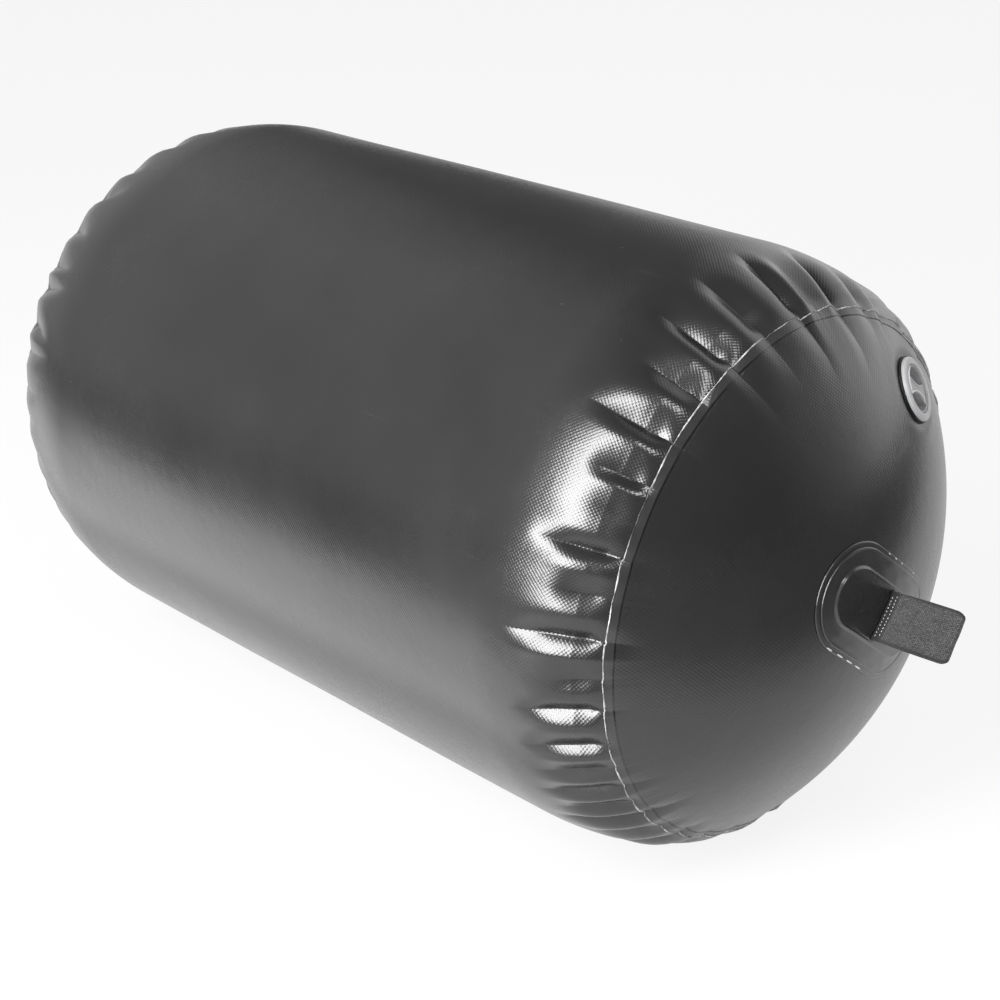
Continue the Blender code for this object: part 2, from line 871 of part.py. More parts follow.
def spring_mesh(low, high, steps_per_turn=10, sides=5):
    """A coil of round wire between two heights, with closed ends."""
    bm = bmesh.new()
    steps = spring_turns * steps_per_turn
    rings = []
    for step in range(steps + 1):
        angle = 2 * math.pi * step / steps_per_turn
        height = low + (high - low) * step / steps
        outward = Vector((math.cos(angle), math.sin(angle), 0))
        ring = []
        for side in range(sides):
            turn = 2 * math.pi * side / sides
            offset = outward * math.cos(turn) + Vector((0, 0, math.sin(turn)))
            centre = outward * spring_radius + Vector((0, 0, height))
            ring.append(bm.verts.new(centre + offset * spring_wire_radius))
        rings.append(ring)
    for ring, following in zip(rings, rings[1:]):
        join_rings(bm, ring, following)
    bm.faces.new(rings[0])
    bm.faces.new(rings[-1])
    return bm


def end_frame(side):
    """Frame on a disc's apex: X along the patch, Z out of the bag."""
    turn = Matrix.Rotation(0 if side > 0 else math.pi, 3, "Z")
    long_way = turn @ Vector((0, math.cos(patch_turn), math.sin(patch_turn)))
    out = turn @ Vector((1, 0, 0))
    short_way = out.cross(long_way)
    frame = Matrix((long_way, short_way, out)).transposed().to_4x4()
    frame.translation = Vector((side * apex_x, 0, 0))
    return frame


def valve_frame():
    """Frame on the disc under the valve: Z out along its normal, X away from the bag's axis."""
    radial = Vector((0, math.sin(valve_turn), math.cos(valve_turn)))
    polar = valve_polar()
    normal = Vector((math.cos(polar), 0, 0)) + radial * math.sin(polar)
    outward = Vector((-math.sin(polar), 0, 0)) + radial * math.cos(polar)
    frame = Matrix((outward, normal.cross(outward), normal)).transposed().to_4x4()
    frame.translation = Vector((apex_x - dome_radius, 0, 0)) + normal * dome_radius
    return frame


def build():
    clear_scene()
    coated_fabric = make_material("coated_fabric", (0.035, 0.036, 0.038), 0.42)
    patch_fabric = make_material("patch_fabric", (0.03, 0.031, 0.033), 0.28)
    webbing = make_material("webbing", (0.03, 0.03, 0.032), 0.8)
    grey_plastic = make_material("grey_plastic", (0.5, 0.51, 0.52), 0.45)
    black_rubber = make_material("black_rubber", (0.015, 0.015, 0.015), 0.6)
    steel = make_material("spring_steel", (0.6, 0.6, 0.6), 0.3, 1.0)

    bag_axis = make_empty("bag_axis", matrix=Matrix.Translation((0, 0, axis_height)))
    near_end = make_empty("near_end", bag_axis, end_frame(1))
    far_end = make_empty("far_end", bag_axis, end_frame(-1))
    valve_axis = make_empty("valve_axis", bag_axis, valve_frame())
    cap_axis = make_empty("cap_axis", valve_axis)
    poppet_axis = make_empty("poppet_axis", valve_axis)

    make_object("fender_bag", bag_mesh(), coated_fabric, bag_axis, smooth_angle=60)
    disc = make_object("near_end_disc", near_disc_mesh(), coated_fabric, bag_axis, smooth_angle=60)
    pocket = make_tool("valve_pocket", bag_pocket_mesh(), coated_fabric, valve_axis)
    use_tool(disc, pocket, "DIFFERENCE")
    make_end_fittings("near", near_end, patch_fabric, webbing)
    make_end_fittings("far", far_end, patch_fabric, webbing)
    make_valve_body(valve_axis, grey_plastic)
    make_clamp(valve_axis, grey_plastic, black_rubber)
    make_cap(cap_axis, grey_plastic, black_rubber)
    make_poppet(poppet_axis, grey_plastic, black_rubber, steel)
    bpy.context.view_layer.update()


build()
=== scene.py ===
"""Looks of the inflatable boat fender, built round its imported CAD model.

Units are metres, +Z is up. The fender's axis runs along X and the end with the valve points to +X.
"""

import math
import random

import bmesh
import bpy
import numpy as np
from mathutils import Matrix, Vector


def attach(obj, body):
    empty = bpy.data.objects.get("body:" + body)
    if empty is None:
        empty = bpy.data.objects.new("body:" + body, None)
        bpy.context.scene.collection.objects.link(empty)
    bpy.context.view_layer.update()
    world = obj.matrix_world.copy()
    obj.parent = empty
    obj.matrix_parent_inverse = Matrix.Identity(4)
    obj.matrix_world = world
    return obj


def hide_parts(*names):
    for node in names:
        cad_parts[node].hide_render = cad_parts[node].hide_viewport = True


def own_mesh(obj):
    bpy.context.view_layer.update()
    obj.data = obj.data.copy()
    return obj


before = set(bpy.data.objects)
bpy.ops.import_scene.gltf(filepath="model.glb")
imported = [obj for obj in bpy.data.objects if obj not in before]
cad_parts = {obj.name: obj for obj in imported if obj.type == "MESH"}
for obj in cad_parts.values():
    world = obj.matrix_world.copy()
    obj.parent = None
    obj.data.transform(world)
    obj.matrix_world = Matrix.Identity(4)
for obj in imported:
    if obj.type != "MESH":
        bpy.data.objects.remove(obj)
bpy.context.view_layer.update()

MM = 0.001

# Bag
bag_radius = 305 * MM
barrel_half_length = 326 * MM
shoulder_length = 123 * MM
shoulder_turn = math.radians(51.8)
seam_radius = 266 * MM
dome_height = 104 * MM
skin_thickness = 1.2 * MM
seat_half_width = 35 * MM
gather_count = 40
crest_share = 0.34
seam_share = 0.44
disc_share = 0.42
touch_gap = 0.3 * MM

# Patches and webbing
patch_turn = math.radians(-38.5)
patch_thickness = 1.2 * MM
base_patch_half_length = 97 * MM
base_patch_half_width = 54 * MM
cover_setback = 5 * MM
strap_width = 50 * MM
strap_thickness = 2.2 * MM
strap_tail_length = 74 * MM
strap_corner_radius = 8 * MM
strap_lean = math.radians(3.0)
cover_drape = 3 * MM
cover_drape_foot = 2.6 * MM
loop_height = 82 * MM
loop_root_length = 9 * MM
loop_eye_width = 6.5 * MM
ply_gap = 0.6 * MM
slot_clearance = 0.5 * MM
curl_start = 40 * MM
curl_run = 42 * MM
curl_left = 3.2 * MM
curl_right = 1.4 * MM
stitch_pitch = 3.5 * MM
stitch_rows = (8.2 * MM, 12.2 * MM)

# Valve, in its own frame: heights are measured outwards from under the flange
valve_inset = 53 * MM
valve_turn = math.radians(37.4)
flange_radius = 32 * MM
flange_height = 4 * MM
dish_radius = 24.3 * MM
dish_depth = 9 * MM
dish_wall = 1.9 * MM
socket_radius = 17.5 * MM
ledge_height = 4 * MM
lug_height = 2.9 * MM
lug_reach = 2.4 * MM
lug_half_angle = math.radians(16)
slot_half_angle = math.radians(20)
socket_floor_drop = 3 * MM
web_thickness = 2.5 * MM
hub_radius = 5 * MM
air_hole_radius = 12.5 * MM
air_hole_half_angle = math.radians(48)
lower_neck_wall = 2.8 * MM
gasket_thickness = 1.5 * MM
gasket_overhang = 1.5 * MM
fit_clearance = 0.4 * MM
seat_margin = 1 * MM
seat_fade = 14 * MM
seat_bulge_height = 0.5 * MM
seat_bulge_radius = 46 * MM
seat_bulge_width = 9 * MM
seat_hole_drop = 6 * MM
seat_reach = 60 * MM
tool_overlap = 1 * MM
cap_bar_turn = math.radians(-85.6)
cap_turn_range = math.radians(90)
cap_rim_drop = 1.0 * MM
cap_bar_drop = 0.8 * MM
cap_rim_width = 1.6 * MM
seal_ring_height = 1.2 * MM
recess_depth = 7.7 * MM
bar_waist = 10 * MM
bar_flare = 6 * MM
spigot_wall = 3.2 * MM
stem_radius = 1.9 * MM
spring_radius = 4 * MM
spring_wire_radius = 0.35 * MM
spring_turns = 3

# Worked out from the sizes above
seam_x = barrel_half_length + shoulder_length
apex_x = seam_x + dome_height
dome_radius = (seam_radius ** 2 + dome_height ** 2) / (2 * dome_height)
dome_half_angle = math.asin(seam_radius / dome_radius)
axis_height = math.sqrt(bag_radius ** 2 - seat_half_width ** 2)
valve_polar = math.asin((seam_radius - valve_inset) / dome_radius)
tail_floor = touch_gap + patch_thickness + touch_gap

# Cloth: the bands beside each seam, the step between the skin's rows, and the weaves
flange_band = 28 * MM
weld_band = 8.5 * MM
weld_rise = 0.5 * MM
row_step = 3.3 * MM
weave_pitch = 2.8 * MM
rib_pitch = 1.7 * MM
twill_pitch = 2.1 * MM
twill_length = 3.4 * MM

# Each gather seen on the valve end: degrees from the top towards -Y, depth, length along the
# barrel and on the end disc in mm, lean of its tip in degrees, step of the cut edge in mm, and
# how sharp its valley is
seen_gathers = [
    (-27.0, 4.0, 80, 60, -4.0, 1.0, 0.6),
    (-20.5, 5.0, 88, 46, -4.5, 1.5, 0.6),
    (-10.5, 8.5, 104, 90, -6.5, 4.0, 1.0),
    (-3.5, 2.6, 84, 0, -3.0, 0.6, 0.0),
    (1.8, 7.5, 104, 84, -3.6, 3.6, 1.0),
    (12.8, 6.0, 98, 70, -1.8, 1.8, 0.8),
    (23.2, 8.0, 96, 84, -0.9, 0.8, 1.0),
    (33.0, 5.0, 74, 0, -0.5, 0.4, 0.6),
    (43.0, 7.5, 92, 62, -0.3, 0.8, 1.0),
    (52.3, 4.4, 64, 0, 0.0, 0.5, 0.1),
    (58.6, 1.2, 50, 0, 0.3, 0.3, 0.0),
    (66.5, 8.0, 90, 50, 0.6, 1.2, 1.0),
    (74.3, 4.0, 60, 0, 0.8, 0.6, 0.2),
    (83.0, 8.5, 104, 44, 1.2, 1.5, 1.0),
    (90.5, 2.6, 52, 0, 1.2, 0.5, 0.1),
    (97.8, 7.5, 94, 30, 1.8, 1.2, 1.0),
    (106.2, 6.5, 94, 0, 2.0, 1.0, 0.7),
    (112.5, 4.5, 88, 0, 2.0, 0.8, 0.4),
    (118.6, 6.0, 96, 46, 2.4, 1.2, 0.8),
    (124.5, 5.0, 88, 0, 2.4, 0.8, 0.5),
    (130.5, 8.0, 106, 60, 2.8, 2.0, 1.0),
    (138.0, 5.0, 90, 30, 2.8, 1.0, 0.6),
    (146.0, 7.0, 96, 40, 2.8, 1.2, 1.0),
]


def smooth_step(value):
    value = np.clip(value, 0.0, 1.0)
    return value * value * (3 - 2 * value)


def bell(value, middle, width):
    return np.exp(-(((value - middle) / width) ** 2))


def on_circle(radius, angle):
    return radius * math.cos(angle), radius * math.sin(angle)


def moved(points, place):
    place = np.array(place)
    return points @ place[:3, :3].T + place[:3, 3]


# Materials


def new_material(name, roughness, metallic=0.0, coat=0.0, coat_roughness=0.1, specular=0.5):
    material = bpy.data.materials.new(name)
    material.use_nodes = True
    shader = material.node_tree.nodes["Principled BSDF"]
    shader.inputs["Roughness"].default_value = roughness
    shader.inputs["Metallic"].default_value = metallic
    shader.inputs["Coat Weight"].default_value = coat
    shader.inputs["Coat Roughness"].default_value = coat_roughness
    shader.inputs["Specular IOR Level"].default_value = specular
    return material, Wiring(material.node_tree, shader)


class Wiring:
    """Short calls for the nodes that the materials share."""

    def __init__(self, tree, shader):
        self.tree = tree
        self.shader = shader
        coordinates = tree.nodes.new("ShaderNodeTexCoord")
        self.place = coordinates.outputs["Object"]
        self.place_in_room = coordinates.outputs["Generated"]
        self.uv = coordinates.outputs["UV"]

    def node(self, kind, **settings):
        made = self.tree.nodes.new(kind)
        for key, value in settings.items():
            setattr(made, key, value)
        return made

    def feed(self, socket, value):
        if isinstance(value, bpy.types.NodeSocket):
            self.tree.links.new(value, socket)
        else:
            socket.default_value = value

    def math(self, operation, first, second=0.5, third=0.5):
        made = self.node("ShaderNodeMath", operation=operation)
        for socket, value in zip(made.inputs, (first, second, third)):
            self.feed(socket, value)
        return made.outputs[0]

    def parts(self, vector):
        made = self.node("ShaderNodeSeparateXYZ")
        self.feed(made.inputs[0], vector)
        return made.outputs

    def attribute(self, name):
        return self.node("ShaderNodeAttribute", attribute_name=name).outputs["Fac"]

    def blend(self, share, first, second, output_kind):
        """Mix two shaders and send them to the output of a material or the world."""
        both = self.node("ShaderNodeMixShader")
        for socket, value in zip(both.inputs, (share, first.outputs[0], second.outputs[0])):
            self.feed(socket, value)
        self.feed(self.node(output_kind).inputs["Surface"], both.outputs[0])

    def times(self, first, second):
        return self.math("MULTIPLY", first, second)

    def plus(self, first, second):
        return self.math("ADD", first, second)

    def noise(self, scale, detail=4.0, roughness=0.55, stretch=None):
        source = self.place
        if stretch:
            mapping = self.node("ShaderNodeMapping")
            self.feed(mapping.inputs["Vector"], source)
            mapping.inputs["Rotation"].default_value = stretch[1]
            mapping.inputs["Scale"].default_value = stretch[0]
            source = mapping.outputs[0]
        made = self.node("ShaderNodeTexNoise")
        self.feed(made.inputs["Vector"], source)
        made.inputs["Scale"].default_value = scale
        made.inputs["Detail"].default_value = detail
        made.inputs["Roughness"].default_value = roughness
        return made.outputs["Fac"]

    def spread(self, value, low, high, to_low=0.0, to_high=1.0):
        made = self.node("ShaderNodeMapRange")
        made.clamp = True
        for socket, number in zip(made.inputs, (value, low, high, to_low, to_high)):
            self.feed(socket, number)
        return made.outputs[0]

    def specks(self, scale, size, share):
        """Small round specks: 1 inside a speck, in a share of the cells."""
        cells = self.node("ShaderNodeTexVoronoi")
        self.feed(cells.inputs["Vector"], self.place)
        cells.inputs["Scale"].default_value = scale
        chosen = self.spread(cells.outputs["Color"], 1 - share, 1 - share + 0.02)
        near = self.spread(cells.outputs["Distance"], size, size * 0.5)
        return self.times(chosen, near)

    def mix(self, share, first, second):
        made = self.node("ShaderNodeMix", data_type="RGBA")
        self.feed(made.inputs["Factor"], share)
        self.feed(made.inputs["A"], first)
        self.feed(made.inputs["B"], second)
        return made.outputs["Result"]

    def mix_grey(self, share, first, second):
        return self.mix(share, grey(first), grey(second))

    def bump(self, height, distance, strength=1.0, under=None):
        made = self.node("ShaderNodeBump")
        self.feed(made.inputs["Height"], height)
        made.inputs["Distance"].default_value = distance
        made.inputs["Strength"].default_value = strength
        if under:
            self.feed(made.inputs["Normal"], under)
        return made.outputs["Normal"]

    def colour(self, value):
        self.feed(self.shader.inputs["Base Color"], value)

    def finish(self, normal, roughness=None):
        self.feed(self.shader.inputs["Normal"], normal)
        if self.shader.inputs["Coat Weight"].default_value > 0:
            self.feed(self.shader.inputs["Coat Normal"], normal)
        if roughness:
            self.feed(self.shader.inputs["Roughness"], roughness)

    def crosshatch(self, pitch):
        """Height of a diagonal weave that shows through its coating, from the UV map in metres."""
        parts = self.parts(self.uv)
        turns = 2 * math.pi / pitch / math.sqrt(2)
        total = self.plus(parts[0], parts[1])
        difference = self.math("SUBTRACT", parts[0], parts[1])
        first = self.math("SINE", self.times(total, turns))
        second = self.math("SINE", self.times(difference, turns))
        return self.plus(first, second)


def grey(value):
    if isinstance(value, (int, float)):
        return (value, value, value * 1.02, 1.0)
    return (*value, 1.0)


def coated_fabric_material():
    """Black coated cloth: its weave shows through, with soft mottling, dust and fine scratches."""
    material, wires = new_material("coated_fabric", 0.26, coat=0.25, coat_roughness=0.2)
    mottle = wires.noise(5.5, 5.0, 0.6)
    fine = wires.noise(60, 3.0)
    shade = wires.mix_grey(wires.spread(mottle, 0.35, 0.68), 0.013, 0.018)
    scratch_noise = wires.noise(9, 2.0, 0.5, stretch=((1, 14, 26), (0.5, 0.3, 0.9)))
    scratches = wires.spread(scratch_noise, 0.72, 0.75)
    scuffs = wires.spread(wires.noise(3.1, 6.0, 0.7), 0.56, 0.72, 0.0, 0.5)
    marks = wires.times(scratches, wires.spread(mottle, 0.45, 0.6, 0.1, 0.7))
    shade = wires.mix(wires.times(marks, 0.3), shade, grey(0.06))
    shade = wires.mix(wires.times(wires.specks(85, 0.09, 0.1), 0.55), shade, grey(0.16))
    weld = wires.attribute("weld")
    pressed = wires.times(wires.spread(weld, 0.0, 1.0), wires.spread(fine, 0.3, 0.6, 0.5, 1.0))
    shade = wires.mix(pressed, shade, grey(0.024))
    shade = wires.mix(wires.spread(weld, 0.0, -1.0), shade, grey(0.004))
    wires.colour(shade)
    rough = wires.spread(mottle, 0.3, 0.7, 0.23, 0.29)
    rough = wires.plus(rough, wires.times(scuffs, 0.08))
    rough = wires.plus(rough, wires.times(pressed, 0.07))
    weave = wires.crosshatch(weave_pitch)
    patchy = wires.spread(wires.noise(26, 2.0), 0.3, 0.65, 0.7, 1.0)
    normal = wires.bump(wires.times(weave, patchy), 0.000026)
    normal = wires.bump(fine, 0.0009, 0.22, normal)
    normal = wires.bump(wires.noise(11, 3.0), 0.006, 0.12, normal)
    wires.finish(normal, rough)
    return material


def patch_material():
    """Smoother and glossier coated cloth of the patches."""
    material, wires = new_material("patch_fabric", 0.26, coat=0.4, coat_roughness=0.1)
    mottle = wires.noise(24, 4.0)
    shade = wires.mix_grey(wires.spread(mottle, 0.35, 0.7), 0.014, 0.022)
    shade = wires.mix(wires.times(wires.specks(140, 0.1, 0.14), 0.6), shade, grey(0.15))
    wires.colour(shade)
    normal = wires.bump(wires.noise(45, 3.0), 0.0016, 0.22)
    normal = wires.bump(wires.crosshatch(weave_pitch), 0.00002, 0.5, normal)
    wires.finish(normal, wires.spread(mottle, 0.3, 0.7, 0.24, 0.36))
    return material


def cut_edge_material():
    """White threads and raw coating where the tube's cloth was cut."""
    material, wires = new_material("raw_cloth_edge", 0.75)
    frayed = wires.noise(420, 3.0, 0.7)
    patchy = wires.noise(38, 3.0, 0.6)
    shade = wires.mix_grey(wires.spread(patchy, 0.36, 0.62), 0.22, 0.62)
    shade = wires.mix(wires.spread(frayed, 0.5, 0.66, 0.0, 0.75), shade, grey(0.1))
    wires.colour(shade)
    wires.finish(wires.bump(frayed, 0.0006, 0.8))
    return material


def webbing_material():
    """Matt woven webbing: fine ribs across it, a twill and pale fibres, with a painted highlight on the
    weave's crests, painted shade at its foot and darker edges.
    """
    material, wires = new_material("webbing", 0.82, specular=0.3)
    wires.shader.inputs["Sheen Weight"].default_value = 0.25
    wires.shader.inputs["Sheen Roughness"].default_value = 0.5
    parts = wires.parts(wires.uv)
    rib = wires.math("SINE", wires.times(parts[0], 2 * math.pi / rib_pitch))
    row = wires.times(parts[1], 2 * math.pi / twill_pitch)
    slope = wires.times(parts[0], 2 * math.pi / twill_length)
    twill = wires.math("SINE", wires.plus(row, slope))
    weave = wires.math("MAXIMUM", rib, twill)
    fibre = wires.noise(620, 2.0, 0.7)
    blotch = wires.noise(70, 3.0, 0.6)
    base = wires.mix_grey(wires.spread(blotch, 0.3, 0.7), 0.015, 0.029)
    # Painted highlight: pale fibres, lighter on the crests of the weave where the ribs catch light.
    lit = wires.times(wires.spread(weave, 0.2, 1.0), wires.spread(fibre, 0.4, 0.66))
    shade = wires.mix(wires.times(lit, 0.85), base, grey(0.12))
    # Painted shade: near black over the foot of the loop by the patch; the webbing is also darker along both
    # edges.
    shade = wires.mix(wires.attribute("dark_rim_and_root_shade"), shade, grey(0.008))
    wires.colour(shade)
    normal = wires.bump(weave, 0.00022, 0.8)
    normal = wires.bump(fibre, 0.0004, 0.5, normal)
    wires.finish(normal)
    return material


def thread_material(name, low, high):
    material, wires = new_material(name, 0.7)
    twist = wires.noise(1500, 2.0)
    wires.colour(wires.mix_grey(wires.spread(twist, 0.35, 0.65), low, high))
    wires.finish(wires.bump(twist, 0.0002, 0.6))
    return material


def plastic_material(name, low, high):
    """Moulded plastic with a fine grain and slight dirt."""
    material, wires = new_material(name, 0.42)
    cloud = wires.noise(70, 4.0, 0.6)
    grain = wires.noise(1400, 2.0)
    shade = wires.mix_grey(wires.spread(cloud, 0.35, 0.68), low, high)
    dirt = wires.spread(wires.noise(260, 5.0, 0.7), 0.62, 0.76, 0.0, 0.35)
    wires.colour(wires.mix(dirt, shade, grey(low * 0.5)))
    normal = wires.bump(grain, 0.00025, 0.3)
    wires.finish(normal, wires.spread(cloud, 0.3, 0.7, 0.36, 0.5))
    return material


def rubber_material():
    material, wires = new_material("black_rubber", 0.6)
    cloud = wires.noise(120, 4.0)
    wires.colour(wires.mix_grey(wires.spread(cloud, 0.35, 0.7), 0.010, 0.02))
    wires.finish(wires.bump(wires.noise(900, 2.0), 0.0002, 0.4))
    return material


def steel_material():
    material, wires = new_material("spring_steel", 0.3, metallic=1.0)
    drawn = wires.noise(500, 3.0, 0.6)
    wires.colour(wires.mix_grey(drawn, 0.5, 0.68))
    wires.finish(wires.bump(drawn, 0.0001, 0.3), wires.spread(drawn, 0.3, 0.7, 0.22, 0.38))
    return material


# Meshes


def add_object(name, data):
    made = bpy.data.objects.new(name, data)
    bpy.context.scene.collection.objects.link(made)
    return made


def write_mesh(bm, mesh):
    """Put a bmesh into a mesh, with its faces turned outwards."""
    bmesh.ops.recalc_face_normals(bm, faces=bm.faces)
    bm.to_mesh(mesh)
    bm.free()
    return mesh


def read_mesh(mesh):
    bm = bmesh.new()
    bm.from_mesh(mesh)
    bm.verts.ensure_lookup_table()
    return bm


def join_rings(bm, rings):
    """Skin a row of rings and close both ends."""
    for before, after in zip(rings, rings[1:]):
        for side, vertex in enumerate(before):
            following = (side + 1) % len(before)
            bm.faces.new([vertex, before[following], after[following], after[side]])
    bm.faces.new(rings[0])
    bm.faces.new(rings[-1])


def make_piece(name, mesh, material, body, replaced=()):
    mesh.shade_smooth()
    mesh.materials.append(material)
    piece = add_object(name, mesh)
    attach(piece, body)
    if replaced:
        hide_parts(*replaced)
    return piece


def grid_mesh(name, points, uvs, inside, uv_turn=0.0):
    """A smooth skin over a grid of points (rows, columns, 3), closed round its columns."""
    rows, cols = points.shape[:2]
    row, col = np.meshgrid(np.arange(rows - 1), np.arange(cols), indexing="ij")
    after = (col + 1) % cols
    corners = np.stack(
        [row * cols + col, row * cols + after, (row + 1) * cols + after, (row + 1) * cols + col], -1
    ).reshape(-1, 4)
    turned = np.stack([col * 0, after < col, after < col, col * 0], -1).reshape(-1, 4)
    flat = points.reshape(-1, 3)
    sample = corners[len(corners) // 3]
    across = np.cross(flat[sample[1]] - flat[sample[0]], flat[sample[2]] - flat[sample[0]])
    if np.dot(across, flat[sample[0]] - np.array(inside)) < 0:
        corners = corners[:, ::-1]
        turned = turned[:, ::-1]
    mesh = bpy.data.meshes.new(name)
    mesh.from_pydata(flat.tolist(), [], corners.tolist())
    layer = mesh.uv_layers.new(name="UVMap")
    values = uvs.reshape(-1, 2)[corners.reshape(-1)].copy()
    values[:, 0] += turned.reshape(-1) * uv_turn
    layer.data.foreach_set("uv", values.reshape(-1))
    return mesh


def close_with_point(mesh, columns, point):
    """Close the last ring of a grid mesh with a fan to one point."""
    bm = read_mesh(mesh)
    layer = bm.loops.layers.uv.active
    rim = list(bm.verts)[-columns:]
    centre = bm.verts.new(point)
    for index in range(len(rim)):
        face = bm.faces.new([rim[index], rim[(index + 1) % len(rim)], centre])
        for loop in face.loops:
            loop[layer].uv = (loop.vert.co.y, loop.vert.co.z)
    write_mesh(bm, mesh)


# Bag: its outline along the cloth


def meridian_table():
    """Along the cloth from the disc's centre to the middle of the tube: distance from the seam
    (positive on the tube), place along the axis, radius and direction of the outward normal."""
    polar = np.linspace(0, dome_half_angle, 600)
    dome = np.stack(
        [
            (polar - dome_half_angle) * dome_radius,
            apex_x - dome_radius + dome_radius * np.cos(polar),
            dome_radius * np.sin(polar),
            polar,
        ]
    )
    turn = shoulder_turn * np.linspace(1, 0, 600)[1:]
    fall = (bag_radius - seam_radius) / (1 - math.cos(shoulder_turn))
    x = barrel_half_length + shoulder_length * np.sin(turn) / math.sin(shoulder_turn)
    radius = bag_radius - fall * (1 - np.cos(turn))
    along = shoulder_length * np.cos(turn) / math.sin(shoulder_turn)
    normal = np.arctan2(along, fall * np.sin(turn))
    before_x = np.concatenate([[seam_x], x[:-1]])
    before_radius = np.concatenate([[seam_radius], radius[:-1]])
    distance = np.cumsum(np.hypot(x - before_x, radius - before_radius))
    shoulder = np.stack([distance, x, radius, normal])
    barrel = np.array([[distance[-1] + barrel_half_length], [0.0], [bag_radius], [math.pi / 2]])
    joined = np.concatenate([dome, shoulder, barrel], axis=1)
    even = np.arange(joined[0, 0], joined[0, -1], 0.5 * MM)
    table = [np.interp(even, joined[0], line) for line in joined[1:]]
    kernel = np.ones(33) / 33
    padded = np.pad(table[2], 16, mode="edge")
    table[2] = np.convolve(padded, kernel, mode="valid")
    return even, table, distance[-1]


meridian_distance, meridian_values, shoulder_arc = meridian_table()
half_cloth = shoulder_arc + barrel_half_length


def cloth_point(side, angle, distance, lift):
    """Points on the bag: round it by angle, along it by distance from the seam, and lifted."""
    x = np.interp(distance, meridian_distance, meridian_values[0])
    radius = np.interp(distance, meridian_distance, meridian_values[1])
    normal = np.interp(distance, meridian_distance, meridian_values[2])
    x = x + lift * np.cos(normal)
    radius = radius + lift * np.sin(normal)
    height = radius * np.cos(angle) + axis_height
    settled = 0.5 * (height + np.sqrt(height ** 2 + (1.0 * MM) ** 2))
    return np.stack([side * x, -radius * np.sin(angle), settled], -1)


# Gathers


def chance_gather(angle, dice):
    depth = dice.uniform(4.0, 8.5)
    length = 60 + 5 * depth + dice.uniform(-8, 8)
    return (angle, depth, length, dice.choice([0, 30, 38, 46]))


def chance_habit(dice):
    """Lean, step of the cut edge and sharpness of a gather that isn't seen."""
    return (dice.uniform(-3, 3), dice.uniform(0.5, 2.5), dice.uniform(0.2, 1.0))


def near_gathers():
    dice = random.Random(4)
    lean_dice = random.Random(21)
    gathers = list(seen_gathers)
    hidden = gather_count - len(gathers)
    spacing = (seen_gathers[0][0] + 360 - gathers[-1][0]) / (hidden + 1)
    for number in range(1, hidden + 1):
        angle = seen_gathers[-1][0] + spacing * (number + dice.uniform(-0.2, 0.2))
        gathers.append(chance_gather(angle, dice) + chance_habit(lean_dice))
    return gathers


def far_gathers():
    dice = random.Random(7)
    lean_dice = random.Random(22)
    gathers = []
    for gather in near_gathers():
        angle, depth, length, disc_length = chance_gather(gather[0] + dice.uniform(-1.6, 1.6), dice)
        calm = 0.4 if 70 < angle < 160 else 0.8
        gathers.append((angle, depth * calm, length, disc_length) + chance_habit(lean_dice))
    return gathers


